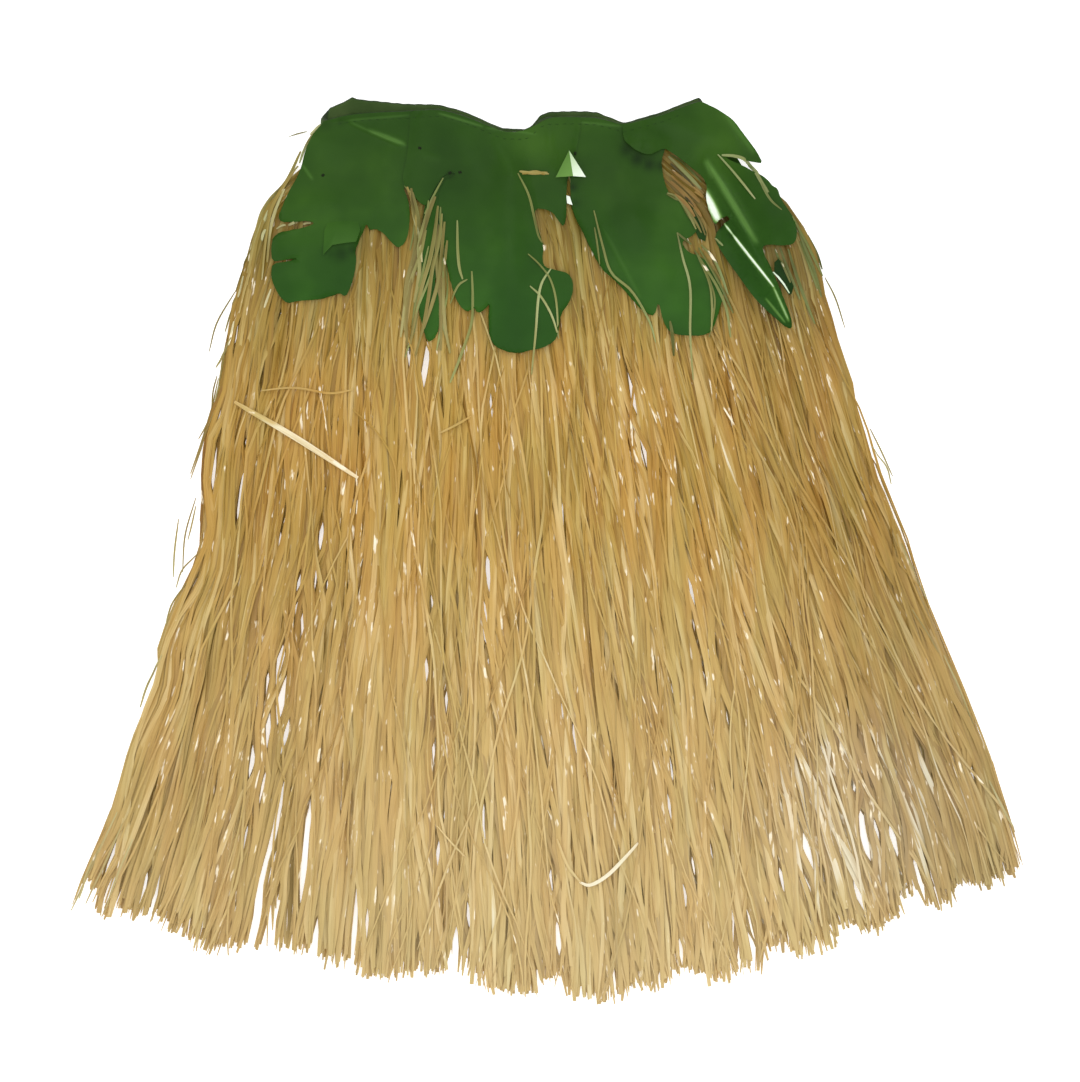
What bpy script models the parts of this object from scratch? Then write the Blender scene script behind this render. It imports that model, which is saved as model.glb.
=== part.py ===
"""Raffia grass skirt with a leaf-trimmed waistband, laid flat on its back.

The waistband is a folded binding tape sewn into a loop and pressed flat. Four
fringes of raffia locks hang from header strips inside the fold, two in the
front panel and two in the back panel. Cut-out leaves are sewn to the outside of
the band, front and back. X runs across the skirt, +Y towards the waist and +Z
up from the surface it lies on. Lengths in the tables are millimetres.
"""
import math
from collections import namedtuple

import bmesh
import bpy
import numpy as np
from mathutils import Vector

MM = 0.001
SEAM = 0.3                  # gap between sewn pieces
CLOTH = 1.0                 # wall of the leaf sheeting
TAPE = 1.2                  # wall of the waistband tape
HEADER = 1.6                # thickness of a fringe's header strip
HEADER_HEIGHT = 6.0
HEADER_DROP = 3.7           # from the band's top edge to the header strip
BAND_HEIGHT = 15.0
PANEL_GAP = 1.0             # between the front and back halves of the band
LEAF_STEP = CLOTH + SEAM    # rise from one leaf to the one that overlaps it
LOCKS = 50                  # raffia locks on each header strip
BODICE = "grass_skirt"

# Heights of the stack at the waist, from the floor up.
BAND_BOTTOM = 2 * LEAF_STEP
CHANNEL = 2 * HEADER + 3 * SEAM
PANEL = CHANNEL + 2 * TAPE
BACK_MIDDLE = BAND_BOTTOM + PANEL / 2
FRONT_MIDDLE = BACK_MIDDLE + PANEL + PANEL_GAP
BAND_TOP = FRONT_MIDDLE + PANEL / 2
GRASS_TOP = 15.3            # highest raffia ridge under the front leaves

# The waist edge, left to right: the front edge lies a little below the back.
Edge = namedtuple("Edge", "across back front")
WAIST = [
    Edge(-169.1, 321.7, 320.6),
    Edge(-156.4, 332.2, 321.8),
    Edge(-144.4, 338.2, 324.4),
    Edge(-112.9, 332.6, 325.5),
    Edge(-78.4, 330.8, 327.4),
    Edge(-48.4, 320.2, 317.2),
    Edge(-29.6, 312.8, 309.8),
    Edge(-14.6, 312.8, 309.8),
    Edge(0.4, 324.8, 321.0),
    Edge(37.9, 327.0, 321.8),
    Edge(58.9, 318.8, 316.5),
    Edge(86.6, 327.0, 324.0),
    Edge(115.9, 338.2, 334.5),
    Edge(124.1, 330.8, 330.8),
]

# The flat run of the band between its two bends, in even stations.
BEND = (FRONT_MIDDLE - BACK_MIDDLE + PANEL) / 2
BAND_LEFT = WAIST[0].across + BEND
BAND_RIGHT = WAIST[-1].across - BEND
BAND_STATIONS = [BAND_LEFT + (BAND_RIGHT - BAND_LEFT) * i / 21 for i in range(22)]

# Width of the raffia fan at heights below the waist.
Fan = namedtuple("Fan", "height left right")
FAN = [
    Fan(285.0, -190.0, 160.0),
    Fan(267.0, -203.0, 174.0),
    Fan(231.0, -220.0, 196.0),
    Fan(186.0, -233.0, 211.0),
    Fan(111.0, -247.0, 236.0),
    Fan(36.0, -258.0, 260.0),
    Fan(-9.0, -265.0, 275.0),
    Fan(-69.0, -284.0, 297.0),
    Fan(-129.0, -303.0, 320.0),
    Fan(-189.0, -326.0, 341.0),
    Fan(-264.0, -357.0, 364.0),
    Fan(-339.0, -386.0, 386.0),
]

# Height of the cut ends across the hem, from the left side to the right.
Hem = namedtuple("Hem", "share height")
HEM = [
    Hem(0.00, -266.0),
    Hem(0.14, -296.0),
    Hem(0.26, -311.0),
    Hem(0.39, -328.0),
    Hem(0.50, -338.0),
    Hem(0.57, -340.0),
    Hem(0.68, -328.0),
    Hem(0.81, -302.0),
    Hem(0.94, -262.0),
    Hem(1.00, -226.0),
]

# Underside of each fringe and thickness of its locks, from the band to the hem.
Pile = namedtuple("Pile", "share back_lower back_upper front_lower front_upper thick")
PILE = [
    Pile(0.00, 4.1, 6.0, 11.6, 13.5, 1.6),
    Pile(0.03, 4.1, 6.0, 11.6, 13.4, 1.6),
    Pile(0.12, 3.1, 6.1, 9.9, 13.0, 2.0),
    Pile(0.30, 2.9, 6.1, 9.4, 12.7, 2.3),
    Pile(0.45, 0.8, 4.6, 8.4, 12.2, 2.4),
    Pile(0.70, 0.5, 3.8, 7.1, 10.4, 2.2),
    Pile(0.88, 0.4, 3.1, 5.8, 8.5, 2.0),
    Pile(1.00, 0.4, 2.8, 5.2, 7.6, 1.2),
]
RINGS = (0.04, 0.12, 0.23, 0.37, 0.55, 0.77, 1.0)   # sections of a lock below the band
SPREAD = 0.12               # share of a lock in which it opens out to the fan
LOCK_WIDTH = 0.84           # of the free distance to the nearest lock
TIP_WIDTH = 0.3             # of a lock's full width
JITTER = 0.09               # of the distance between locks

# A leaf's lobes run down its left side and up its right. Each lobe has a near
# and a far corner, and some end in a notch. Across and down are from the stem.
Lobe = namedtuple("Lobe", "near_across near_down far_across far_down notch_across notch_down")
Leaf = namedtuple("Leaf", "stem_across stem_height top_left top_right lobes")
NO_NOTCH = (None, None)
LEAVES = {
    "broad": Leaf(-129, 329, -167, -88, [
        Lobe(-39, 10, -53, 42, -46, 50),
        Lobe(-56, 55, -70, 80, -44, 86),
        Lobe(-74, 95, -77, 110, -56, 114),
        Lobe(-77, 125, -65, 147, *NO_NOTCH),
        Lobe(-19, 138, -11, 114, -3, 90),
        Lobe(19, 103, 30, 79, 25, 57),
    ]),
    "long": Leaf(-37, 329, -110, 34, [
        Lobe(-70, 12, -65, 59, -44, 67),
        Lobe(-40, 78, -36, 121, -20, 129),
        Lobe(-28, 138, -21, 153, -4, 148),
        Lobe(-2, 175, 21, 187, *NO_NOTCH),
        Lobe(29, 182, 46, 173, 34, 144),
        Lobe(53, 149, 57, 126, 37, 119),
        Lobe(38, 110, 32, 89, 29, 76),
        Lobe(48, 82, 53, 57, 22, 50),
        Lobe(54, 47, 67, 12, *NO_NOTCH),
    ]),
    "slanting": Leaf(48, 329, 4, 92, [
        Lobe(-36, 16, -31, 52, -25, 57),
        Lobe(-22, 80, 14, 142, 19, 120),
        Lobe(22, 133, 33, 155, 38, 142),
        Lobe(45, 169, 78, 171, *NO_NOTCH),
        Lobe(87, 148, 73, 115, 61, 109),
        Lobe(67, 103, 64, 87, 51, 69),
        Lobe(40, 58, 35, 38, *NO_NOTCH),
    ]),
    "folded": Leaf(86, 329, 63, 119, [
        Lobe(-29, 22, -5, 37, 6, 34),
        Lobe(35, 60, 43, 100, *NO_NOTCH),
        Lobe(85, 159, 97, 169, *NO_NOTCH),
        Lobe(97, 140, 84, 121, 78, 106),
        Lobe(103, 105, 100, 87, *NO_NOTCH),
        Lobe(83, 59, 71, 49, 43, 36),
        Lobe(77, 43, 61, 19, *NO_NOTCH),
    ]),
    "tapered": Leaf(95, 318, 70, 121, [
        Lobe(-28, 32, -15, 74, -4, 70),
        Lobe(6, 108, 28, 142, 38, 132),
        Lobe(57, 160, 84, 170, *NO_NOTCH),
        Lobe(99, 152, 106, 130, 90, 120),
        Lobe(110, 116, 108, 100, 86, 90),
        Lobe(83, 76, 62, 46, *NO_NOTCH),
    ]),
    "narrow": Leaf(-76, 329, -84, -64, [
        Lobe(-14, 72, -21, 122, -16, 132),
        Lobe(-19, 152, -12, 177, *NO_NOTCH),
        Lobe(-4, 168, -4, 142, -7, 130),
        Lobe(2, 110, 8, 55, *NO_NOTCH),
    ]),
}
TOP_MARGIN = 2.5            # from the band's edge down to a leaf's top
CORNER_REACH = 5.0          # how far back a lobe's corner starts to round
TOP_SPACING = 11.0
CUT_SPACING = 24.0          # between the rows of points across a leaf

# Where each leaf lies: the shape, its level in the stack and its shift.
Place = namedtuple("Place", "shape level shift_across shift_height")
FRONT_LEAVES = {
    "leaf_front_left": Place("broad", 0, 0, 0),
    "leaf_front_centre": Place("long", 1, 0, 0),
    "leaf_front_slanting": Place("slanting", 0, 0, 0),
    "leaf_front_right": Place("folded", 1, 0, 0),
    "leaf_front_narrow": Place("narrow", 0, 0, 0),
}
BACK_LEAVES = {
    "leaf_back_left": Place("broad", 1, 6, -4),
    "leaf_back_centre": Place("long", 0, 4, 2),
    "leaf_back_slanting": Place("slanting", 1, 6, -6),
    "leaf_back_right": Place("tapered", 0, 0, 0),
}

# Raised folds of the front leaves: a ridge from a start to an end point.
Fold = namedtuple("Fold", "start_across start_height end_across end_height rise width")
FOLDS = {
    "leaf_front_right": [
        Fold(118, 294, 184, 164, 9.0, 10.0),
        Fold(58, 306, 84, 296, 3.5, 11.0),
    ],
    "leaf_front_left": [
        Fold(-146, 319, -119, 307, 2.2, 6.0),
        Fold(-158, 226, -138, 232, 3.0, 9.0),
    ],
    "leaf_front_slanting": [Fold(48, 268, 80, 236, 2.0, 9.0)],
    "leaf_front_centre": [
        Fold(-34, 300, -20, 196, 2.0, 14.0),
        Fold(12, 280, 25, 292, 4.0, 9.0),
    ],
    "leaf_front_narrow": [],
}

LEAF_GREEN = (0.045, 0.115, 0.028, 1.0)
BAND_GREEN = (0.030, 0.070, 0.022, 1.0)
RAFFIA_TAN = (0.50, 0.335, 0.125, 1.0)


def clear_scene():
    for found in list(bpy.data.objects):
        bpy.data.objects.remove(found, do_unlink=True)


def material(name, colour, roughness):
    made = bpy.data.materials.new(name)
    made.use_nodes = True
    shader = made.node_tree.nodes["Principled BSDF"]
    shader.inputs["Base Color"].default_value = colour
    shader.inputs["Roughness"].default_value = roughness
    shader.inputs["Metallic"].default_value = 0.0
    made.diffuse_color = colour
    return made


def read(table, key, column, at):
    """The value of one column of a table at any place between its rows."""
    places = [getattr(row, key) for row in table]
    values = [getattr(row, column) for row in table]
    if places[0] > places[-1]:
        places, values = places[::-1], values[::-1]
    return float(np.interp(at, places, values))


def panel_edge(across, side):
    """Height of one panel's top edge, straight between the band's stations."""
    heights = [read(WAIST, "across", side, place) for place in BAND_STATIONS]
    return float(np.interp(across, BAND_STATIONS, heights))


def smooth(value):
    value = min(1.0, max(0.0, value))
    return value * value * (3 - 2 * value)


def finish(name, bm, parent, finish_material):
    """Turns a bmesh into a named object of the skirt."""
    mesh = bpy.data.meshes.new(name)
    bm.to_mesh(mesh)
    bm.free()
    made = bpy.data.objects.new(name, mesh)
    made.data.materials.append(finish_material)
    bpy.data.collections[BODICE].objects.link(made)
    made.parent = parent
    return made


# ---- Waistband: a folded tape, swept round a flattened loop ----

def tape_section():
    """The tape's closed outline: outwards from its middle, and up from its mouth."""
    outer, inner = PANEL / 2, CHANNEL / 2
    top = BAND_HEIGHT - outer
    turns = [math.radians(angle) for angle in (0, 60, 120, 180)]
    outside = [(outer * math.cos(a), top + outer * math.sin(a)) for a in turns]
    inside = [(-inner * math.cos(a), top + inner * math.sin(a)) for a in turns]
    return [(outer, 0), *outside, (-outer, 0), (-inner, 0), *inside, (inner, 0)]


def loop_stations():
    """Places round the loop: across, height, outward direction, share of front."""
    radius = (FRONT_MIDDLE - BACK_MIDDLE) / 2
    middle = (FRONT_MIDDLE + BACK_MIDDLE) / 2
    left, right, straight = BAND_LEFT, BAND_RIGHT, BAND_STATIONS
    turns = [math.radians(angle) for angle in (36, 72, 108, 144)]
    stations = [(x, FRONT_MIDDLE, 0.0, 1.0, 1.0) for x in straight]
    for a in turns:
        stations.append((right + radius * math.sin(a), middle + radius * math.cos(a),
                         math.sin(a), math.cos(a), (1 + math.cos(a)) / 2))
    stations += [(x, BACK_MIDDLE, 0.0, -1.0, 0.0) for x in reversed(straight)]
    for a in turns:
        stations.append((left - radius * math.sin(a), middle - radius * math.cos(a),
                         -math.sin(a), -math.cos(a), (1 - math.cos(a)) / 2))
    return stations


def edge_height(across, front_share):
    front = panel_edge(across, "front")
    back = panel_edge(across, "back")
    return back + (front - back) * front_share


def waistband(parent, finish_material):
    section, stations = tape_section(), loop_stations()
    round_it, through = len(stations), len(section)
    bm = bmesh.new()
    bmesh.ops.create_grid(bm, x_segments=round_it, y_segments=through, size=0.5)
    for vert in bm.verts:
        i = round((vert.co.x + 0.5) * round_it) % round_it
        j = round((vert.co.y + 0.5) * through) % through
        across, height, out_x, out_z, front_share = stations[i]
        out, up = section[j]
        mouth = edge_height(across, front_share) - BAND_HEIGHT
        vert.co = Vector((across + out * out_x, mouth + up, height + out * out_z)) * MM
    bmesh.ops.remove_doubles(bm, verts=bm.verts, dist=0.01 * MM)
    bmesh.ops.recalc_face_normals(bm, faces=bm.faces)
    return finish("waistband", bm, parent, finish_material)


# ---- Fringes: raffia locks fused to a header strip ----

def header_edge(across, side):
    """Height of a header strip's lower side, where the locks leave it."""
    return panel_edge(across, side) - HEADER_DROP - HEADER_HEIGHT


def fan_across(share, height, phase):
    """Where a lock runs: its share of the fan's width, swayed with its neighbours."""
    left = read(FAN, "height", "left", height)
    right = read(FAN, "height", "right", height)
    drop = smooth((FAN[0].height - height) / 500.0)
    edge_room = math.sin(math.pi * share) ** 0.5
    sway = math.sin(2 * math.pi * 3.5 * share + phase + 2.2 * drop)
    sway += 0.5 * math.sin(2 * math.pi * 8 * share - 1.7 * phase)
    return left + (right - left) * share + 7.0 * drop * edge_room * sway


def lock_paths(side, phase, rng):
    """For each lock, its points below the band as (across, height, pile share)."""
    root_left, root_right = WAIST[0].across + 11.0, WAIST[-1].across - 10.0
    pitch = (root_right - root_left) / LOCKS
    paths = []
    for i in range(LOCKS):
        share = (i + 0.5) / LOCKS
        root = root_left + pitch * (i + 0.5)
        mouth = header_edge(root, side) + HEADER_DROP + HEADER_HEIGHT - BAND_HEIGHT - 1.5
        tip = read(HEM, "share", "height", share) + rng.uniform(-4.0, 9.0)
        shift = rng.uniform(-JITTER, JITTER)
        points = [(root, mouth, 0.0)]
        for ring in RINGS:
            height = mouth + (tip - mouth) * ring
            spread = min(1.0, ring / SPREAD) ** 0.6
            moved = share + shift * ring / LOCKS
            across = root + (fan_across(moved, height, phase) - root) * spread
            points.append((across, height, ring))
        paths.append(points)
    return paths


def lock_widths(paths, ring):
    """Widths that keep the locks of one fringe apart."""
    places = [path[ring][0] for path in paths]
    gaps = [b - a for a, b in zip(places, places[1:])]
    free = [min(pair) for pair in zip([gaps[0], *gaps], [*gaps, gaps[-1]])]
    last = TIP_WIDTH if ring == len(RINGS) else LOCK_WIDTH
    return [last * gap for gap in free]


def fringe(name, side, phase, seed, parent, finish_material):
    rng = np.random.default_rng(seed)
    paths = lock_paths(side, phase, rng)
    lean = [rng.uniform(-0.25, 0.25) for _ in paths]
    layer = name.removeprefix("fringe_")
    root_left, root_right = WAIST[0].across + 11.0, WAIST[-1].across - 10.0
    bottom = read(PILE, "share", layer, 0.0)

    bm = bmesh.new()
    lock_of = bm.faces.layers.int.new("lock")
    bmesh.ops.create_grid(bm, x_segments=LOCKS, y_segments=1, size=0.5)
    for vert in bm.verts:
        across = root_left + (root_right - root_left) * (vert.co.x + 0.5)
        up = bottom + HEADER * (vert.co.y > 0)
        vert.co = Vector((across, header_edge(across, side), up)) * MM
    bm.faces.ensure_lookup_table()
    roots = sorted(bm.faces, key=lambda face: face.calc_center_median().x)
    for number, face in enumerate(roots):
        face[lock_of] = number
    strip = bmesh.ops.extrude_face_region(bm, geom=roots, use_keep_orig=True)
    raised = [v for v in strip["geom"] if isinstance(v, bmesh.types.BMVert)]
    bmesh.ops.translate(bm, verts=raised, vec=(0, HEADER_HEIGHT * MM, 0))
    roots = sorted(roots, key=lambda face: face[lock_of])

    ends = roots
    for ring in range(len(RINGS) + 1):
        widths = lock_widths(paths, ring)
        ends = bmesh.ops.extrude_discrete_faces(bm, faces=ends)["faces"]
        for face in ends:
            number = face[lock_of]
            across, height, share = paths[number][ring]
            half = widths[number] / 2
            low = read(PILE, "share", layer, share)
            thick = read(PILE, "share", "thick", share)
            corners = sorted(face.verts, key=lambda vert: vert.co.z)
            left, right = sorted(corners[:2], key=lambda vert: vert.co.x)
            ridge = Vector((across + lean[number] * half, height, low + thick)) * MM
            left.co = Vector((across - half, height, low)) * MM
            right.co = Vector((across + half, height, low)) * MM
            for corner in corners[2:]:
                corner.co = ridge
        if ring == 0:
            bmesh.ops.remove_doubles(bm, verts=[v for f in ends for v in f.verts], dist=1e-7)
            ends = [face for face in bm.faces if face.is_valid and len(face.verts) == 3
                    and face.normal.y < -0.5]
            ends = lock_ends(bm, lock_of, paths)
    bmesh.ops.recalc_face_normals(bm, faces=bm.faces)
    return finish(name, bm, parent, finish_material)


def lock_ends(bm, lock_of, paths):
    """The triangle that closes each lock after its first section."""
    found = []
    for face in bm.faces:
        if len(face.verts) != 3:
            continue
        height = paths[face[lock_of]][0][1] * MM
        if all(abs(vert.co.y - height) < 1e-6 for vert in face.verts):
            found.append(face)
    return found


# ---- Leaves: cut-out sheeting sewn to the outside of the band ----

def rounded(corner, before, after):
    """Three points that round a corner between its neighbours."""
    corner = Vector(corner)
    to_before, to_after = Vector(before) - corner, Vector(after) - corner
    reach_in = min(CORNER_REACH, 0.4 * to_before.length)
    reach_out = min(CORNER_REACH, 0.4 * to_after.length)
    start = corner + to_before.normalized() * reach_in
    end = corner + to_after.normalized() * reach_out
    return [start, corner * 0.5 + (start + end) * 0.25, end]


def leaf_outline(leaf, place, side):
    """The leaf's outline in the skirt's plane, lobes and top edge."""
    stem = Vector((leaf.stem_across + place.shift_across, leaf.stem_height + place.shift_height))
    marks = []
    for lobe in leaf.lobes:
        marks.append((stem + Vector((lobe.near_across, -lobe.near_down)), True))
        marks.append((stem + Vector((lobe.far_across, -lobe.far_down)), True))
        if lobe.notch_across is not None:
            marks.append((stem + Vector((lobe.notch_across, -lobe.notch_down)), False))
    low = max(leaf.top_left + place.shift_across, WAIST[0].across + 3.0)
    high = min(leaf.top_right + place.shift_across, WAIST[-1].across - 3.0)
    count = max(2, round((high - low) / TOP_SPACING))
    for i in range(count + 1):
        across = high + (low - high) * i / count
        height = read(WAIST, "across", side, across) - TOP_MARGIN
        marks.append((Vector((across, height)), False))
    outline = []
    for i, (point, is_corner) in enumerate(marks):
        if is_corner:
            outline += rounded(point, marks[i - 1][0], marks[(i + 1) % len(marks)][0])
        else:
            outline.append(point)
    return outline


def fold_rise(folds, across, height):
    """How far the folds lift a point of a leaf. A fold fades out at both ends."""
    rise = 0.0
    for fold in folds:
        start = Vector((fold.start_across, fold.start_height))
        run = Vector((fold.end_across, fold.end_height)) - start
        along = (Vector((across, height)) - start).dot(run) / run.length_squared
        near = start + run * min(1.0, max(0.0, along))
        away = (Vector((across, height)) - near).length / fold.width
        fade = smooth(0.2 + 3.5 * min(max(along, 0.0), max(1.0 - along, 0.0)))
        rise += fold.rise * fade * math.exp(-away * away)
    return rise


def front_leaf_height(level, folds, across, height):
    """Underside of a front leaf: up on the band, then down on the raffia."""
    drop = read(WAIST, "across", "front", across) - BAND_HEIGHT - height
    on_band, on_grass = BAND_TOP + SEAM, GRASS_TOP + SEAM
    rest = on_band + (on_grass - on_band) * smooth(drop / 40.0)
    ripple = 0.6 * (1 + math.sin(across / 19.0 + 1.0) * math.cos(height / 24.0))
    return rest + LEAF_STEP * level + ripple * smooth(drop / 25.0) + fold_rise(folds, across, height)


def leaf_sheet(outline, folds):
    """The flat outline, filled and cut into rows so that it can bend."""
    bm = bmesh.new()
    verts = [bm.verts.new((p.x, p.y, 0)) for p in outline]
    bm.faces.new(verts)
    low = Vector((min(p.x for p in outline), min(p.y for p in outline), 0))
    high = Vector((max(p.x for p in outline), max(p.y for p in outline), 0))
    cuts = []
    for axis in (0, 1):
        direction = Vector((axis == 0, axis == 1, 0))
        count = int((high[axis] - low[axis]) / CUT_SPACING)
        cuts += [(low + direction * CUT_SPACING * (i + 0.5), direction) for i in range(count)]
    for fold in folds:
        run = Vector((fold.end_across - fold.start_across, fold.end_height - fold.start_height, 0))
        across = Vector((-run.y, run.x, 0)).normalized()
        start = Vector((fold.start_across, fold.start_height, 0))
        if fold.rise > 3.2:
            cuts += [(start + across * fold.width * step, across) for step in (-1.1, 0, 1.1)]
    for point, direction in cuts:
        bmesh.ops.bisect_plane(bm, geom=bm.verts[:] + bm.edges[:] + bm.faces[:],
                               plane_co=point, plane_no=direction, dist=1e-4)
    bmesh.ops.triangulate(bm, faces=bm.faces)
    return bm


def leaf(name, place, side, parent, finish_material):
    folds = FOLDS.get(name, [])
    bm = leaf_sheet(leaf_outline(LEAVES[place.shape], place, side), folds)
    for vert in bm.verts:
        if side == "front":
            up = front_leaf_height(place.level, folds, vert.co.x, vert.co.y)
        else:
            up = LEAF_STEP * place.level
        vert.co = Vector((vert.co.x, vert.co.y, up)) * MM
    bmesh.ops.remove_doubles(bm, verts=bm.verts, dist=0.02 * MM)
    for face in bm.faces:
        if face.normal.z < 0:
            face.normal_flip()
    made = finish(name, bm, parent, finish_material)
    wall = made.modifiers.new("wall", "SOLIDIFY")
    wall.thickness = CLOTH * MM
    wall.offset = 1.0
    return made


def centre_on_floor(whole):
    """Moves the skirt so that the origin is under the middle of its box."""
    bpy.context.view_layer.update()
    graph = bpy.context.evaluated_depsgraph_get()
    corners = []
    for child in whole.children:
        evaluated = child.evaluated_get(graph)
        corners += [evaluated.matrix_world @ vert.co for vert in evaluated.data.vertices]
    low = [min(c[i] for c in corners) for i in range(3)]
    high = [max(c[i] for c in corners) for i in range(3)]
    whole.location = (-(low[0] + high[0]) / 2, -(low[1] + high[1]) / 2, -low[2])
    print("shift", [round(v / MM, 3) for v in whole.location])


def main():
    clear_scene()
    bpy.context.scene.collection.children.link(bpy.data.collections.new(BODICE))
    whole = bpy.data.objects.new("skirt_frame", None)
    bpy.data.collections[BODICE].objects.link(whole)
    leaf_green = material("leaf_sheeting", LEAF_GREEN, 0.35)
    band_green = material("waistband_tape", BAND_GREEN, 0.7)
    raffia = material("raffia", RAFFIA_TAN, 0.6)

    waistband(whole, band_green)
    fringe("fringe_back_lower", "back", 0.4, 11, whole, raffia)
    fringe("fringe_back_upper", "back", 2.3, 12, whole, raffia)
    fringe("fringe_front_lower", "front", 4.1, 13, whole, raffia)
    fringe("fringe_front_upper", "front", 5.6, 14, whole, raffia)
    for name, place in BACK_LEAVES.items():
        leaf(name, place, "back", whole, leaf_green)
    for name, place in FRONT_LEAVES.items():
        leaf(name, place, "front", whole, leaf_green)
    centre_on_floor(whole)


main()
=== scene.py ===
"""A raffia grass skirt laid flat on its back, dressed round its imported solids.

X runs across the skirt, +Y towards the waist and +Z up out of the front panel.
Tables and sizes are in millimetres; meshes are made in metres.
"""
import math
from collections import namedtuple

import bmesh
import bpy
import numpy as np
from mathutils import Matrix, Vector
from mathutils.bvhtree import BVHTree


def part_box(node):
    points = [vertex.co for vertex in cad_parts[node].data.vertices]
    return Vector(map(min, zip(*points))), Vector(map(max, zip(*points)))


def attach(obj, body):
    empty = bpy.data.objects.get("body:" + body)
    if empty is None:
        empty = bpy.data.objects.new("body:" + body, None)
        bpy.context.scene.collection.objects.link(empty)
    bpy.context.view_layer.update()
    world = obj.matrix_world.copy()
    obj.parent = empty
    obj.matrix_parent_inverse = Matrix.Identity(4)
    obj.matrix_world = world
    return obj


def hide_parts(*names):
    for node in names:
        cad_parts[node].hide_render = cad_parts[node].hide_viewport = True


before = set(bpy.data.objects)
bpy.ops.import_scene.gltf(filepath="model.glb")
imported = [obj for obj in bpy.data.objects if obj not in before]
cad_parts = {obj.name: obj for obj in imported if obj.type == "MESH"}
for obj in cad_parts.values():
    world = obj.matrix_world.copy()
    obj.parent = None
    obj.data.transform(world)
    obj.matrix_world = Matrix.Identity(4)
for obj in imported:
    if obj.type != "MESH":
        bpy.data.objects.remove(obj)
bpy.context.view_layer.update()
MM = 0.001


# ---- Camera: straight above the skirt, far enough away to see it flat ----
# The view is 810 mm across at the height of the front raffia.
VIEW_ACROSS = 810.0
VIEW_CENTRE = (-2.7, 7.4)
RAFFIA_LEVEL = 11.0
LENS = 100.0
SENSOR = 36.0
camera = bpy.data.cameras.new("camera_above")
camera.lens = LENS
camera.sensor_width = SENSOR
camera.sensor_fit = "HORIZONTAL"
camera.clip_end = 20.0
camera_above = bpy.data.objects.new("camera_above", camera)
view_from = (*VIEW_CENTRE, VIEW_ACROSS * LENS / SENSOR + RAFFIA_LEVEL)
camera_above.location = [place * MM for place in view_from]
bpy.context.scene.collection.objects.link(camera_above)
bpy.context.scene.camera = camera_above


# ---- Raffia: split and dried palm fibre, sewn by the roots in four rows ----
# Each strand is a thin ribbon, creased along its length and rolled a little as
# it dried. Two rows make the back of the skirt and two the front.
STRAND_POINTS = 36
STRAND_WIDTH = 4.0
SHARP = math.radians(60)    # edges sharper than this stay crisp
# The creased ribbon's outline, in shares of its width.
RIBBON = np.array([(-0.50, 0.00), (-0.10, 0.10), (0.50, 0.02), (0.04, -0.04)])

# Columns: height, the raffia's left edge and its right edge.
FAN = np.array([
    (316, -166, 122), (300, -180, 146), (288, -188, 160),
    (270, -201, 175), (252, -210, 185), (234, -216, 199),
    (206, -223, 206), (190, -227, 208), (140, -237, 225),
    (124, -237.5, 229.5), (106, -244.5, 233.5), (87, -250, 238.5),
    (60, -253, 246.5), (26, -252.5, 260.5), (8, -254.5, 268),
    (-10, -258.5, 273), (-20, -261.5, 276.5), (-38, -273.6, 282.5),
    (-73, -287, 297), (-97, -289.5, 307), (-109, -292.5, 312),
    (-127, -301, 319), (-149, -310, 328), (-202, -326, 345),
    (-255, -349, 360), (-340, -378, 384),
])
FAN_STEADY = 4              # from this row on the fan widens evenly
# How far the strands lean to the right on their way down. Columns: share across
# the skirt, lean below the middle, lean above it.
SWEEP = np.array([
    (0.0, 0.0, 0.0), (0.15, 0.034, 0.0), (0.35, 0.045, 0.004), (0.5, 0.038, 0.012),
    (0.65, 0.027, 0.015), (0.8, 0.016, 0.010), (1.0, 0.0, 0.0),
])
BELOW_FROM = 0.45           # share of the way down where the lean below sets in
ABOVE_FROM, ABOVE_OVER = 0.22, 0.25     # the same for the lean above, and its length
# The cut ends hang in uneven clumps. Columns: place across, height of the ends.
HEM = np.array([
    (-358, -271), (-350, -257), (-342, -252), (-331, -279), (-322, -270), (-311, -285),
    (-300, -276), (-293, -273), (-286, -288), (-265, -293), (-250, -303), (-240, -297),
    (-230, -302), (-226, -290), (-219, -302), (-213, -272), (-205, -268), (-200, -300),
    (-191, -310), (-180, -301), (-172, -307), (-160, -313), (-150, -317), (-142, -294),
    (-136, -321), (-124, -326), (-110, -324), (-97, -320), (-88, -321), (-75, -320),
    (-66, -300), (-58, -318), (-40, -332), (-21, -336), (-5, -334), (8, -323),
    (22, -336), (50, -344), (68, -331), (85, -329), (108, -316), (125, -322),
    (150, -319), (165, -309), (177, -290), (190, -308), (198, -301), (210, -313),
    (218, -289), (228, -286), (240, -290), (252, -285), (265, -280), (272, -255),
    (285, -268), (300, -268), (308, -255), (330, -258), (342, -247), (357, -241),
])
HEM_CLUMPS = 110            # and the seed for how uneven they are
# The waistband's lower edge. Columns: place across, back height, front height.
BAND_MOUTH = np.array([
    (-160, 319, 312), (-142, 325, 312), (-111, 320, 313),
    (-76, 318, 315), (-46, 307, 304), (-28, 300, 297),
    (-12, 300, 297), (3, 312, 308), (40, 314, 309),
    (61, 306, 304), (89, 314, 311), (112, 323, 320),
])
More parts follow.
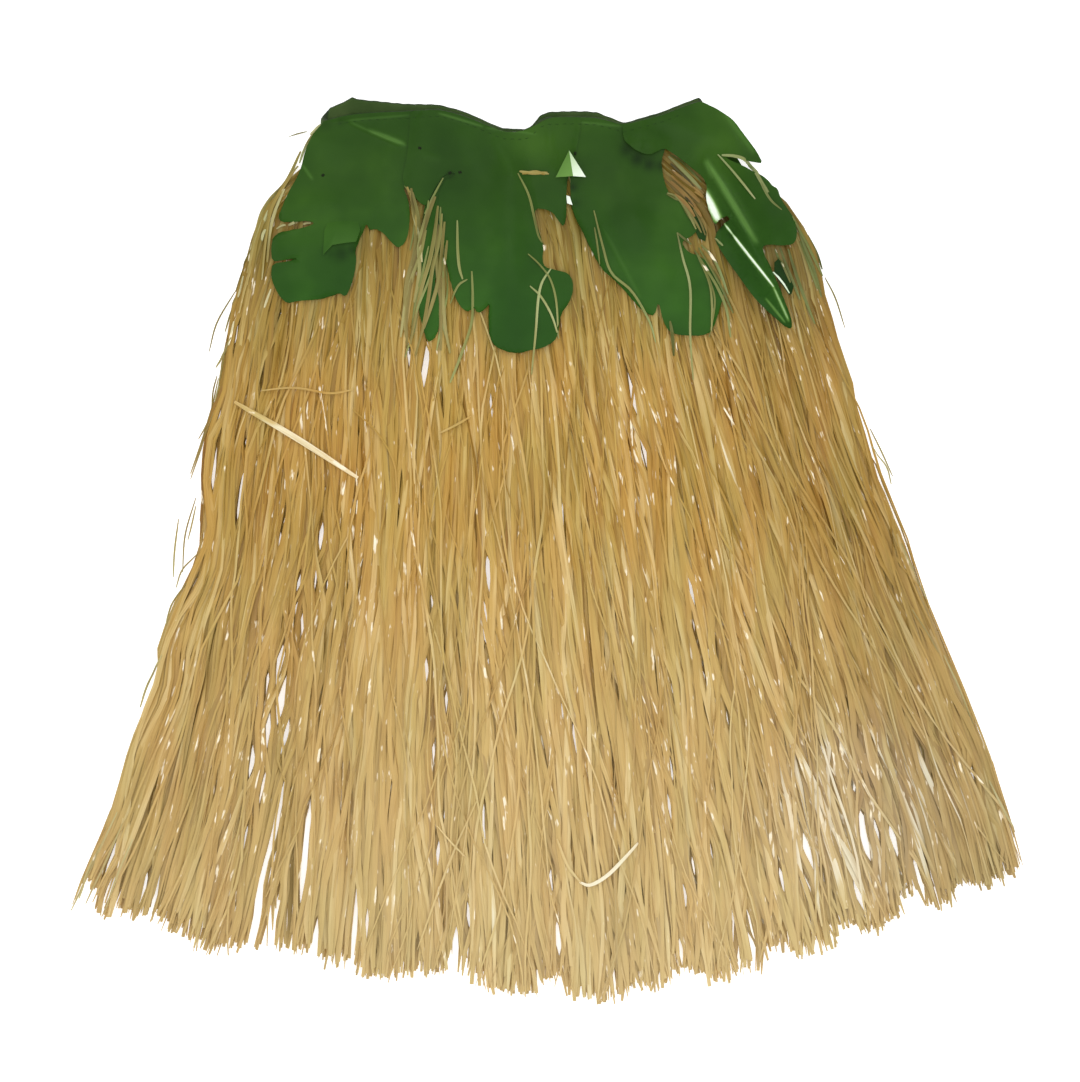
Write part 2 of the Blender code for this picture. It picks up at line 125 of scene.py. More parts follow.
# Floor-side height of each row, from the band (0) to the hem (1).
# The middle rows, which show only in the gaps, have a darker tone: painted shade for the gaps.
Row = namedtuple("Row", "node strands seed mouth_column tone shares heights")
PILE_SHARES = (-0.03, 0.0, 0.12, 0.30, 0.45, 0.70, 0.88, 1.0)
ROWS = (
    Row("fringe_back_lower", 330, 3, 1, 0.48, PILE_SHARES, (4.6, 4.5, 4.0, 4.0, 2.0, 1.5, 1.2, 0.9)),
    Row("fringe_back_upper", 330, 5, 1, 0.38, PILE_SHARES, (6.4, 6.2, 6.2, 6.2, 4.6, 3.4, 2.6, 2.1)),
    Row("fringe_front_lower", 430, 7, 2, 0.42, PILE_SHARES,
        (12.1, 11.9, 10.9, 10.7, 9.4, 7.8, 6.0, 5.0)),
    Row("fringe_front_upper", 460, 9, 2, 0.50, PILE_SHARES,
        (14.0, 13.5, 12.6, 12.2, 11.3, 9.7, 7.7, 6.6)),
)
STRAND_APART = 7.3          # from one strand to the next in their shared pattern
ROW_SPREAD = 2.0            # how far the strands of a row lie above each other
LOWEST = 0.75               # a strand's middle above the floor
FLAT_AT = 0.35              # the height at which a strand could only lie flat
ROOT_INSET = (4.0, 2.0)     # from the ends of the band to the first and the last strand
ROOT = 0.02                 # share of a strand's length that is sewn inside the band
ASTRAY = 0.58               # share of the strands that leave their place in the fan
ASTRAY_DRIFT = 0.080        # how far across the fan they drift by the hem
DRIFT = 0.022               # the same for the other strands
LEAN = 0.008                # how far neighbours lean together, across the fan
TUFTS, GATHERED = 31, 0.5   # tufts across the skirt, and how tightly strands gather there
BOLD = 0.03                 # share of the strands that lie across the partings
KINK, KINKS = 1.5, 13       # how far a dried-in bend steps aside, and how many there are
# Slow waves along the strands: how long and how large they are, and how much of their
# sum is used.
Waves = namedtuple("Waves", "lengths sizes share")
WANDERING = Waves((130, 240, 460), (0.8, 1.6, 4.4), 1.0)
RISING = Waves((85, 140, 260), (0.5, 0.7, 0.6), 0.6)
THICKENING = Waves((60, 110, 210), (1, 1, 1), 0.06)
ROLLING = Waves((140, 260, 480), (0.4, 0.6, 0.7), 0.35)
FANNED_BY = 0.13            # share of the way down by which strands have spread out
WANDER_FROM = 90.0          # how far below the band strands wander freely
ROLL = 0.22                 # how far a whole strand is rolled, in radians
ABOVE_HEM = 7.0             # from the hem's height, which is that of its lowest ends
CLUMP_SPREAD, END_SPREAD = 3.0, 1.3     # how uneven the clumps' ends and their strands' are
# How far strands end above that: at least, on average past it, and at most past it.
LEAST_SHORT, SHORT_BY, MOST_SHORT = -5.0, 6.0, 70.0
LONG, LONG_BY = 0.05, (1.0, 6.0)        # share of long strands, and how far they hang down
EDGE_SLACK, MOST_SLACK = 2.2, 5.0       # how far strands stand out past the edges
NEAR_EDGE = 0.07            # share of the fan in which strands follow its edge
WIDTHS = (0.68, 1.25)       # narrowest and widest strand, in shares of the usual one
# The last two points of a strand are narrower still, because it tapers to its end.
TAPER = (0.60, 1.0), (0.12, 0.65)
TWISTED = 0.22              # share of the strands that turn over on their way down
TWISTED_AT, TWIST_LENGTH = (0.25, 0.9), 0.16        # in shares of a strand's length
# Deep strands are painted darker, as shade.
TONE_SPREAD, DEPTH_SHADE = 0.18, 0.20    # how unlike strands are, and how dark deep ones
TONES = (0.05, 0.80)        # the darkest and the palest
# Partings where all the rows lie open down to the floor. Columns: across and height
# of the top, across and height of the bottom, and half the opening.
PARTINGS = (
    (-193, -166, -221, -304, 2.1), (-176, -184, -184, -266, 2.8), (-190, -224, -191, -307, 1.8),
    (-199, -221, -208, -251, 0.7), (-222, -206, -225, -222, 1.7), (-181, -12, -184, -34, 2.0),
    (-183, -36, -185, -50, 2.7), (-178, -36, -182, -63, 3.1), (-195, -71, -201, -98, 3.7),
    (-196, -100, -202, -130, 3.5), (-207, -90, -208, -110, 2.5), (-206, -121, -207, -146, 2.5),
    (-193, -135, -197, -149, 2.3), (-209, -165, -213, -186, 2.1), (-218, -153, -219, -166, 3.2),
    (-168, 24, -167, 1, 3.0), (-170, -14, -172, -32, 1.7), (-162, -16, -163, -32, 1.7),
    (-164, 61, -163, 48, 1.3), (-183, 64, -185, 52, 1.1), (-194, 25, -195, 14, 1.1),
    (-198, 10, -199, 1, 1.0), (-86, 157, -92, 125, 2.7), (-100, 157, -101, 139, 2.3),
    (-83, -32, -85, -48, 1.9), (-87, -78, -87, -94, 1.7), (-83, -144, -83, -163, 2.4),
    (-79, -218, -79, -229, 1.3), (-73, -102, -74, -120, 2.1), (-74, -191, -75, -202, 1.8),
    (-58, -264, -56, -284, 1.8), (-40, 114, -40, 102, 1.6), (-41, 98, -41, 87, 1.5),
    (-41, -1, -42, -28, 2.1), (-45, -34, -44, -47, 1.7), (-46, -51, -45, -61, 1.5),
    (-42, -76, -42, -87, 1.5), (-46, -190, -44, -218, 1.2), (10, -277, 12, -304, 2.4),
    (6, -243, 6, -255, 2.5), (5, -202, 6, -213, 1.7), (14, -116, 16, -129, 1.6),
    (22, -131, 24, -147, 2.3), (65, 129, 66, 116, 1.6), (69, 113, 69, 100, 1.9),
    (74, 84, 76, 63, 3.0), (86, 91, 87, 81, 1.5), (109, -22, 113, -39, 2.2),
    (112, -48, 114, -63, 1.9), (127, -61, 132, -82, 1.7), (119, -85, 121, -96, 1.4),
    (126, -107, 130, -120, 1.8), (136, -117, 139, -131, 1.8), (96, -97, 98, -110, 1.5),
    (93, -152, 98, -171, 2.1), (92, -179, 97, -202, 2.1), (111, -228, 114, -245, 2.1),
    (105, -251, 107, -268, 2.5), (239, -187, 243, -233, 3.4), (249, -203, 253, -217, 3.1),
    (255, -202, 269, -229, 2.2), (258, -136, 264, -159, 2.8), (232, -172, 235, -183, 2.0),
    (234, -129, 236, -139, 1.8), (226, -156, 229, -167, 1.3), (214, -205, 225, -239, 1.8),
    (196, -216, 203, -242, 3.6), (198, -245, 199, -252, 2.4), (179, -236, 178, -249, 2.4),
    (180, -191, 179, -201, 1.5), (209, -236, 212, -249, 1.6), (230, -248, 247, -275, 2.3),
    (277, -230, 283, -251, 2.1), (284, -145, 287, -160, 1.2), (309, -98, 312, -112, 2.2),
    (320, -158, 322, -168, 1.6), (221, 159, 225, 145, 0.7), (-224, 198, -230, 178, 1.5),
    (-231, 169, -232, 155, 1.9), (-208, 143, -213, 115, 2.5), (-204, 142, -207, 129, 1.7),
    (-198, 182, -198, 168, 1.6), (-242, 110, -243, 99, 1.6), (-241, 93, -251, 38, 1.1),
    (-223, 88, -224, 76, 1.5), (-224, 64, -232, 18, 1.3), (-253, 30, -253, 15, 1.5),
    (-260, -13, -264, -34, 1.9), (-298, -242, -301, -256, 1.7), (-323, -222, -326, -238, 2.9),
    (-328, -199, -332, -213, 1.8), (-326, -247, -327, -259, 2.4), (-291, -241, -292, -270, 0.8),
    (156, -285, 160, -312, 1.5), (143, -285, 144, -298, 1.5), (154, -272, 155, -284, 2.0),
    (-134, -268, -134, -286, 1.4), (-199, -255, -200, -264, 2.0), (125, -217, 126, -229, 1.8),
    (104, -296, 103, -304, 1.9), (205, -300, 211, -310, 1.4), (-141, -250, -142, -304, 1.6),
    (-170, -274, -172, -304, 1.5), (-66, -275, -66, -318, 1.5),
)
PARTING_TAPER, PARTING_REACH = 26.0, 50.0
PARTING_PUSH = 0.85         # how far strands step aside, in shares of half the opening
EASING_ROUNDS = 12
LONGEST_STEP = 6.0          # how far a strand steps aside without easing
# Painted shade on the raffia, where it lies in the shade of a leaf, and in a few broad places lower down
# that are made darker.
Spot = namedtuple("Spot", "across height reach dark")
SHADED = (
    Spot(90, 287, 9, 0.85), Spot(98, 273, 10, 0.45), Spot(112, 262, 12, 0.30),
    Spot(134, 246, 9, 0.80), Spot(-97, 264, 9, 0.45), Spot(-88, 246, 8, 0.30),
    Spot(12, 242, 9, 0.35), Spot(27, 240, 8, 0.35), Spot(-144, 196, 9, 0.30),
    Spot(-134, 232, 9, 0.35), Spot(102, 232, 8, 0.45), Spot(182, 214, 12, 0.40),
    Spot(-3, 246, 8, 0.35), Spot(-178, 244, 14, 0.50), Spot(-190, 216, 12, 0.50),
    Spot(160, 176, 9, 0.30), Spot(24, 190, 8, 0.25), Spot(-42, 174, 8, 0.30),
    Spot(-30, 140, 32, 0.11), Spot(5, 46, 30, 0.10), Spot(40, -290, 40, 0.09),
    Spot(165, -200, 50, 0.08), Spot(300, -205, 35, 0.10), Spot(150, -130, 40, 0.05),
)
# Where the raffia lies thin and broken, with the most pale flecks painted on as glints.
FLECKED = (
    Spot(-164, -37, 55, 0.80), Spot(-228, -157, 55, 0.80), Spot(-96, -52, 45, 0.60),
    Spot(106, -104, 45, 0.90), Spot(-33, -37, 35, 0.40), Spot(-168, -224, 45, 0.60),
    Spot(-96, -142, 40, 0.45), Spot(35, -142, 40, 0.35), Spot(72, 91, 35, 0.50),
    Spot(-108, 83, 32, 0.35), Spot(-140, 50, 40, 0.40), Spot(-226, 190, 26, 0.90),
    Spot(-236, 130, 24, 0.60), Spot(-250, 60, 26, 0.60),
)


def connect(tree, node, inputs):
    """Gives a node's named inputs their values, colours or links from other nodes."""
    for name, given in inputs.items():
        socket = node.inputs[name]
        if isinstance(given, bpy.types.NodeSocket):
            tree.links.new(given, socket)
        else:
            socket.default_value = (*given, 1.0) if socket.type == "RGBA" else given


def add_node(tree, kind, inputs, output=0, **settings):
    """Adds a shader node, and returns one of its outputs."""
    node = tree.nodes.new("ShaderNode" + kind)
    for setting, value in settings.items():
        setattr(node, setting, value)
    connect(tree, node, inputs)
    return node.outputs[output]


def carried(tree, name, output="Fac"):
    """A value that the piece's mesh carries at each of its points."""
    return add_node(tree, "Attribute", {}, output, attribute_name=name)


def maths(tree, operation, *values):
    """The result of a sum on two values, or of MULTIPLY_ADD on three."""
    return add_node(tree, "Math", dict(enumerate(values)), operation=operation)


def fade(tree, value, start, end, full=1.0, shape="SMOOTHSTEP"):
    """A mask that goes from 0 where the value is at its start to full at its end."""
    inputs = {"Value": value, "From Min": start, "From Max": end, "To Max": full}
    return add_node(tree, "MapRange", inputs, "Result", interpolation_type=shape)


def colour_ramp(tree, value, stops):
    """A colour that follows a value through the given places and colours."""
    ramp = tree.nodes.new("ShaderNodeValToRGB")
    elements = ramp.color_ramp.elements
    while len(elements) < len(stops):
        elements.new(0.5)
    for element, (place, colour) in zip(elements, stops):
        element.position = place
        element.color = (*colour, 1.0)
    tree.links.new(value, ramp.inputs["Fac"])
    return ramp.outputs["Color"]


def noise(tree, place, scale, detail):
    """Soft cloudy noise."""
    return add_node(tree, "TexNoise", {"Vector": place, "Scale": scale, "Detail": detail}, "Fac")


def straw_pattern(tree, scale):
    """Noise that is stretched along the strand."""
    place = carried(tree, "strand_place", "Vector")
    return noise(tree, add_node(tree, "Mapping", {"Vector": place, "Scale": scale}), 1.0, 3.0)


def masked_tint(tree, colour, mask, tint, blend="MULTIPLY"):
    """The colour, blended with a tint where the mask is white."""
    inputs = {"Fac": mask, "Color1": colour, "Color2": tint}
    return add_node(tree, "MixRGB", inputs, blend_type=blend)


def new_material(name):
    """A new material, its node tree and its shader."""
    made = bpy.data.materials.new(name)
    made.use_nodes = True
    return made, made.node_tree, made.node_tree.nodes["Principled BSDF"]


TONE_STOPS = (0.0, 0.3, 0.62, 0.93, 1.0)
# Dark to pale tones of dried raffia, and of raffia over the leaves, painted green as the leaves' colour
# showing through the thin strands.
STRAW = ((0.335, 0.180, 0.034), (0.488, 0.292, 0.060), (0.565, 0.362, 0.092),
         (0.740, 0.560, 0.260), (0.960, 0.880, 0.680))
GREEN_SHOWING_STRAW = ((0.150, 0.165, 0.040), (0.250, 0.270, 0.080), (0.360, 0.380, 0.140),
              (0.640, 0.680, 0.390), (0.900, 0.910, 0.700))
DULLED_STRAW = ((0.150, 0.110, 0.026), (0.300, 0.225, 0.070), (0.430, 0.350, 0.130),
                (0.620, 0.580, 0.300), (0.820, 0.800, 0.560))
BRIGHT_STRAW = ((0.300, 0.150, 0.030), (0.640, 0.330, 0.110), (0.860, 0.500, 0.200),
               (0.980, 0.720, 0.380), (1.000, 0.940, 0.800))
BLACK, WHITE = (0.0, 0.0, 0.0), (1.0, 1.0, 1.0)
BLEACH_AND_GLARE_PLACE = (0.234, -0.196, 0.01)
# How far the raffia's colour changes across the skirt. The darker band by the waist is
# painted shade with a painted green cast from the leaves, and the darker left edge is
# painted shade. Columns: the axis, where the change starts and ends in metres, its
# strength and shape, its colour and its blend.
RIGHT_SLANT = 0.345
ZONE_TINTS_AND_SHADE = (
    ("Y", 0.10, 0.26, 1.0, "SMOOTHSTEP", (0.51, 0.58, 0.42), "MULTIPLY"),
    ("Y", -0.07, 0.05, 1.0, "LINEAR", (0.965, 0.945, 0.86), "MULTIPLY"),
    ("Y", 0.02, -0.31, 0.36, "LINEAR", (0.86, 0.74, 0.43), "MIX"),
    ("X", -0.05, -0.21, 1.0, "SMOOTHSTEP", (0.90, 0.87, 0.80), "MULTIPLY"),
    ("slanted", 0.08, 0.25, 1.0, "SMOOTHSTEP", (0.80, 0.79, 0.77), "MULTIPLY"),
)


def new_group(name, inputs, outputs):
    """A shader node group with named sockets: its own inputs, and its output node."""
    group = bpy.data.node_groups.new(name, "ShaderNodeTree")
    for direction, sockets in (("INPUT", inputs), ("OUTPUT", outputs)):
        for socket, kind in sockets.items():
            group.interface.new_socket(socket, in_out=direction, socket_type="NodeSocket" + kind)
    return group, group.nodes.new("NodeGroupInput").outputs, group.nodes.new("NodeGroupOutput")


def raffia_tone_group():
    """How pale the raffia is at a place, and how strongly sun bleaching and a painted glare show there.
    """
    group, _, end = new_group("raffia_tone", {}, {"Tone": "Float", "Bleach_and_glare": "Float"})
    # A strand's own tone is made lighter and darker along it by its stains.
    tone = carried(group, "strand_tone")
    stains = straw_pattern(group, (0.12, 0.013, 1.0))
    stained = maths(group, "SUBTRACT", maths(group, "MULTIPLY_ADD", stains, 0.8, tone), 0.40)
    # Low down on one side the raffia shows sun bleaching and a painted glare, its pale strands most of
    # all.
    where = add_node(group, "TexCoord", {}, "Object")
    away = add_node(group, "VectorMath", {0: where, 1: BLEACH_AND_GLARE_PLACE}, "Value",
                    operation="DISTANCE")
    bleach_and_glare = fade(group, away, 0.100, 0.03, 0.22)
    uneven = maths(group, "MULTIPLY_ADD", tone, 7.0, -3.3)
    raised = maths(group, "MULTIPLY_ADD", bleach_and_glare, uneven, stained)
    connect(group, end, {"Tone": raised, "Bleach_and_glare": bleach_and_glare})
    return group


def raffia_marks_and_light_group():
    """Fibres, stains, painted shade and painted glints over a straw colour."""
    group, given, end = new_group(
        "raffia_marks_and_light", {"Straw": "Color", "Bleach_and_glare": "Float"},
        {"Color": "Color", "Roughness": "Float", "Normal": "Vector"})
    fibres = straw_pattern(group, (1.15, 0.030, 1.0))
    streaks = colour_ramp(group, fibres, [
        (0.34, (0.84, 0.78, 0.67)), (0.50, WHITE), (0.66, (1.07, 1.09, 1.14))])
    colour = masked_tint(group, given["Straw"], 0.85, streaks)

    # Whole locks are more olive or more brown than the rest.
    where = add_node(group, "TexCoord", {}, "Object")
    long = add_node(group, "Mapping", {"Vector": where, "Scale": (55.0, 9.0, 90.0)})
    locks = noise(group, long, 1.0, 2.0)
    dyed = colour_ramp(group, locks, [
        (0.36, (0.93, 0.99, 0.98)), (0.50, WHITE), (0.66, (1.0, 0.93, 0.84))])
    colour = masked_tint(group, colour, 1.0, dyed)
    # Sun bleaching and a painted glare make it paler low down on one side.
    colour = masked_tint(group, colour, given["Bleach_and_glare"], (0.66, 0.51, 0.34), "MIX")

    # It is paler low down, and darker by the waist, at both edges and in the shade
    # of a leaf. The darkening by the waist, at the left edge and in a leaf's shade is
    # painted shade, with a painted green cast from the leaves by the waist. The right
    # edge slants, so its darker band follows a slanting line.
    axes = {axis: add_node(group, "SeparateXYZ", {"Vector": where}, axis) for axis in "XY"}
    axes["slanted"] = maths(group, "MULTIPLY_ADD", axes["Y"], RIGHT_SLANT, axes["X"])
    for axis, start, stop, strength, shape, tint, blend in ZONE_TINTS_AND_SHADE:
        mask = fade(group, axes[axis], start, stop, strength, shape)
        colour = masked_tint(group, colour, mask, tint, blend)
    colour = masked_tint(group, colour, carried(group, "shade"), (0.36, 0.33, 0.26))

    # Painted glints: short pale flecks on the strands, most of them where the raffia is thin.
    flecks = straw_pattern(group, (0.20, 0.045, 1.0))
    for mask, share in ((given["Bleach_and_glare"], 0.24), (carried(group, "flecked"), 0.045),
                        (locks, 0.25)):
        flecks = maths(group, "MULTIPLY_ADD", mask, share, flecks)
    painted_glints = colour_ramp(group, flecks, [(0.797, BLACK), (0.845, WHITE)])
    colour = masked_tint(group, colour, painted_glints, (0.98, 0.87, 0.64), "MIX")

    gloss = {"Value": fibres, "To Min": 0.32, "To Max": 0.60}
    relief = {"Height": fibres, "Strength": 0.3, "Distance": 0.0004}
    connect(group, end, {"Color": colour, "Roughness": add_node(group, "MapRange", gloss),
                         "Normal": add_node(group, "Bump", relief)})
    return group


raffia_tone, raffia_marks_and_light = raffia_tone_group(), raffia_marks_and_light_group()


def raffia_material(name, tones):
    """Straw colours that differ from strand to strand, with fibres along each."""
    made, tree, shader = new_material(name)
    tone, light_marks_node = tree.nodes.new("ShaderNodeGroup"), tree.nodes.new("ShaderNodeGroup")
    tone.node_tree, light_marks_node.node_tree = raffia_tone, raffia_marks_and_light
    straw = colour_ramp(tree, tone.outputs["Tone"], list(zip(TONE_STOPS, tones)))
    connect(tree, light_marks_node, {"Straw": straw, "Bleach_and_glare": tone.outputs["Bleach_and_glare"]})
    light_and_marks = light_marks_node.outputs
    connect(tree, shader, {"Base Color": light_and_marks["Color"], "Roughness": light_and_marks["Roughness"],
                           "Normal": light_and_marks["Normal"], "Specular IOR Level": 0.25})
    return made


def add_piece(name, mesh, materials):
    """Puts a finished mesh into the scene as a piece that rides on the skirt."""
    for material in materials:
        mesh.materials.append(material)
    piece = bpy.data.objects.new(name, mesh)
    bpy.context.scene.collection.objects.link(piece)
    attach(piece, "root")
    return piece


def unit(vectors):
    """The vectors, each made one long."""
    return vectors / np.maximum(np.linalg.norm(vectors, axis=2, keepdims=True), 1e-9)


def spot_mask(spots, across, height):
    """How strongly the spots mark a place, or each of an array of places."""
    marked = np.zeros(np.shape(across))
    for spot in spots:
        apart = (across - spot.across) ** 2 + (height - spot.height) ** 2
        marked = np.maximum(marked, spot.dark * np.exp(-apart / spot.reach ** 2))
    return marked


def lay_strands(name, paths, widths, rolls, tones, material):
    """One joined mesh of ribbons. A path is a row of points down its strand."""
    count, points, _ = paths.shape
    corners = len(RIBBON)
    along = unit(np.gradient(paths, axis=1))
    level = unit(np.cross(along, (0.0, 0.0, 1.0)))
    lift = np.cross(level, along)
    turn, rise = np.cos(rolls)[..., None], np.sin(rolls)[..., None]
    across = level * turn + lift * rise
    outward = lift * turn - level * rise
    sized = RIBBON[None, None] * widths[..., None, None]
    verts = (paths[:, :, None] + across[:, :, None] * sized[..., 0:1]
             + outward[:, :, None] * sized[..., 1:2]) * MM

    # Quads between neighbouring rings of a strand, and a cap on each end.
    number = np.arange(count * points * corners).reshape(count, points, corners)
    beside = np.roll(number, -1, axis=2)
    walls = np.stack([number[:, :-1], beside[:, :-1], beside[:, 1:], number[:, 1:]], axis=-1)
    faces = walls.reshape(-1, 4).tolist()
    faces += number[:, 0, ::-1].tolist() + number[:, -1].tolist()
    mesh = bpy.data.meshes.new(name)
    mesh.from_pydata(verts.reshape(-1, 3), [], faces)
    mesh.shade_smooth()
    mesh.set_sharp_from_angle(angle=SHARP)

    # Each point knows its place on its strand, for the fibres to follow.
    steps = np.linalg.norm(np.diff(paths, axis=1), axis=2)
    run = np.concatenate([np.zeros((count, 1)), np.cumsum(steps, axis=1)], axis=1)
    place = np.empty((count, points, corners, 3))
    place[..., 0] = sized[..., 0]
    place[..., 1] = run[..., None]
    place[..., 2] = (np.arange(count) * STRAND_APART)[:, None, None]
    mesh.attributes.new("strand_place", "FLOAT_VECTOR", "POINT").data.foreach_set(
        "vector", place.ravel())
    for field, values in (("strand_tone", tones[:, None]),
                          ("shade", spot_mask(SHADED, paths[..., 0], paths[..., 1])),
                          ("flecked", spot_mask(FLECKED, paths[..., 0], paths[..., 1]))):
        values = np.broadcast_to(values[..., None], (count, points, corners))
        mesh.attributes.new(field, "FLOAT", "POINT").data.foreach_set("value", values.ravel())
    return add_piece(name, mesh, [material])


def eased(value):
    """A value from 0 to 1, made to start and stop softly."""
    value = np.clip(value, 0.0, 1.0)
    return value * value * (3 - 2 * value)


def fan_edge(height, column):
    """How far across the raffia's left (1) or right (2) edge lies at a height."""
    return np.interp(-height, -FAN[:, 0], FAN[:, column])


def fan_out(height, where):
    """A strand's place across. Only those near an edge follow its small steps."""
    sides = []
    steady = FAN[FAN_STEADY:]
    for column in (1, 2):
        easy = np.polyval(np.polyfit(steady[:, 0], steady[:, column], 3), height)
        sides.append((easy, fan_edge(height, column) - easy))
    (left, left_step), (right, right_step) = sides
    middle = left + (right - left) * where
    return (middle + left_step * np.exp(-np.maximum(where, 0.0) / NEAR_EDGE)
            + right_step * np.exp(-np.maximum(1.0 - where, 0.0) / NEAR_EDGE))


def waves(rng, at, kind):
    """Smooth wandering, different for every strand, as a sum of three waves."""
    count = len(at)
    total = np.zeros(at.shape)
    for length, size in zip(kind.lengths, kind.sizes):
        phase = rng.uniform(0, 2 * math.pi, (count, 1))
        stretch = rng.uniform(0.7, 1.4, (count, 1))
        total += size * rng.normal(1.0, 0.4, (count, 1)) * np.sin(
            2 * math.pi * at * stretch / length + phase)
    return kind.share * total


def kinks(rng, count, down):
    """Small bends where a strand was creased as it dried, straight in between."""
    marks = np.linspace(0.0, 1.0, KINKS)
    offsets = rng.normal(0.0, KINK, (count, KINKS))
    offsets[:, 0] = 0.0
    return np.stack([np.interp(down[0], marks, row_offsets) for row_offsets in offsets])


def step_aside(across, height, spare):
    """How far each point moves to clear the partings on its strand's own side."""
    moved = across.copy()
    for top_across, top_height, low_across, low_height, half_width in PARTINGS:
        line = np.interp(height, (low_height, top_height), (low_across, top_across))
        inside = eased((top_height - height) / PARTING_TAPER + 0.5)
        inside = inside * eased((height - low_height) / PARTING_TAPER + 0.5)
        # A short parting opens as far at its middle as a long one.
        inside = inside / eased(0.5 * (top_height - low_height) / PARTING_TAPER + 0.5) ** 2
        inside = np.minimum(inside, 1.0)
        away = moved - line
        middle = np.sum(away * inside, axis=1, keepdims=True)
        side = np.where(middle < 0, -1.0, 1.0)
        push = PARTING_PUSH * half_width + spare
        aside = np.sqrt(np.maximum(side * away, 0.0) ** 2 + push ** 2)
        moved = moved + (side * aside - away) * inside * (np.abs(away) < PARTING_REACH)
    return moved - across


def part_strands(across, height, spare):
    """Opens the partings: wide moves are eased along the strand, small ones kept."""
    wide = step_aside(across, height, 0.5 * spare)
    for _ in range(EASING_ROUNDS):
        wide[:, 1:-1] = (wide[:, :-2] + 2 * wide[:, 1:-1] + wide[:, 2:]) / 4
        wide[:, -1] = wide[:, -2]
    across = across + wide
    return across + np.clip(step_aside(across, height, spare), -LONGEST_STEP, LONGEST_STEP)


def hem_height(where):
    """Height of the cut ends at a share of the way across the hem."""
    left, right = fan_edge(HEM[:, 1], 1), fan_edge(HEM[:, 1], 2)
    places = (HEM[:, 0] - left) / (right - left)
    return np.interp(where, np.maximum.accumulate(places), HEM[:, 1])


def edge_room(share):
    """How freely a strand may wander: little at either edge of the skirt."""
    return np.minimum(1.0, 0.2 + 12.0 * np.minimum(share, 1 - share))


def fan_places(rng, row, share, down, wander):
    """How far across the fan each strand lies on its way down, in shares of it."""
    # A strand drifts a little from its place in the row, or goes far astray.
    drift = rng.normal(0.0, DRIFT, (row.strands, 1))
    astray = rng.random((row.strands, 1)) < ASTRAY
    far = rng.normal(0.0, ASTRAY_DRIFT * wander, (row.strands, 1))
    drift = np.where(astray, far, drift)
    # Neighbours lean together, and gather into tufts.
    lean = LEAN * np.sin(2 * math.pi * (2.6 * share + 0.7 * down) + row.seed)
    pull = 0.5 + 0.5 * np.sin(2 * math.pi * (0.9 * down + 3.1 * share) + row.seed)
    turn = 2 * math.pi * (TUFTS * share + 0.5 * np.sin(2.2 * down + row.seed))
    gather = -pull * np.sin(turn) / (2 * math.pi * TUFTS)
    where = share + edge_room(share) * (drift * down + lean * eased(1.4 * down)
                                        + GATHERED * gather * eased(3.0 * down))
    # The whole panel leans to the right on its way down.
    below, above = (np.interp(share, SWEEP[:, 0], SWEEP[:, column]) for column in (1, 2))
    where = where + below * np.clip((down - BELOW_FROM) / (1 - BELOW_FROM), 0.0, 1.0) ** 1.5
    where = where + above * eased((down - ABOVE_FROM) / ABOVE_OVER)
    # Split fibres stop at the edges of the fan, and strands turn back inwards.
    if wander > 1:
        return np.clip(where, -0.02, 1.02)
    return 1 - np.abs(1 - np.abs(where))


def cut_ends(rng, where):
    """Where strands end: neighbours together in clumps, and some of them short."""
    count = len(where)
    # Most strands end close to their clump's own height, and a few hang below it.
    clump = np.random.default_rng(HEM_CLUMPS).normal(0.0, CLUMP_SPREAD, HEM_CLUMPS)
    uneven = np.interp(where, np.linspace(0.0, 1.0, HEM_CLUMPS), clump)
    hem = hem_height(where) + ABOVE_HEM + uneven + rng.normal(0.0, END_SPREAD, (count, 1))
    hem += np.minimum(rng.exponential(SHORT_BY, (count, 1)), MOST_SHORT) + LEAST_SHORT
    long = rng.random((count, 1)) < LONG
    return hem - np.where(long, rng.uniform(*LONG_BY, (count, 1)), 0.0)


def strand_shapes(rng, away, down, up, width):
    """Each strand's width, which tapers at its end, and how far it is rolled."""
    count = len(up)
    widths = width * rng.uniform(*WIDTHS, (count, 1)) * np.ones_like(up)
    widths = widths * (1 + waves(rng, away, THICKENING))
    for point, share in zip((-2, -1), TAPER):
        widths[:, point] *= rng.uniform(*share, count)
    rolls = rng.normal(0.0, ROLL, (count, 1))
    rolls = rolls + waves(rng, away, ROLLING)
    # Some strands turn over to the left or to the right, part of the way down.
    over = (rng.random((count, 1)) < TWISTED) * rng.choice([-1.0, 1.0], (count, 1))
    at = rng.uniform(*TWISTED_AT, (count, 1))
    rolls = rolls + over * math.pi * eased((down - at) / TWIST_LENGTH + 0.5)
    # A strand on edge lies over until it has room above the floor.
    flat = np.clip((up - FLAT_AT) / np.maximum(0.5 * widths, 0.1), 0.0, 1.0)
    rolls = np.where(np.abs(np.sin(rolls)) > flat, np.arcsin(np.sin(rolls) * flat), rolls)
    return widths, rolls


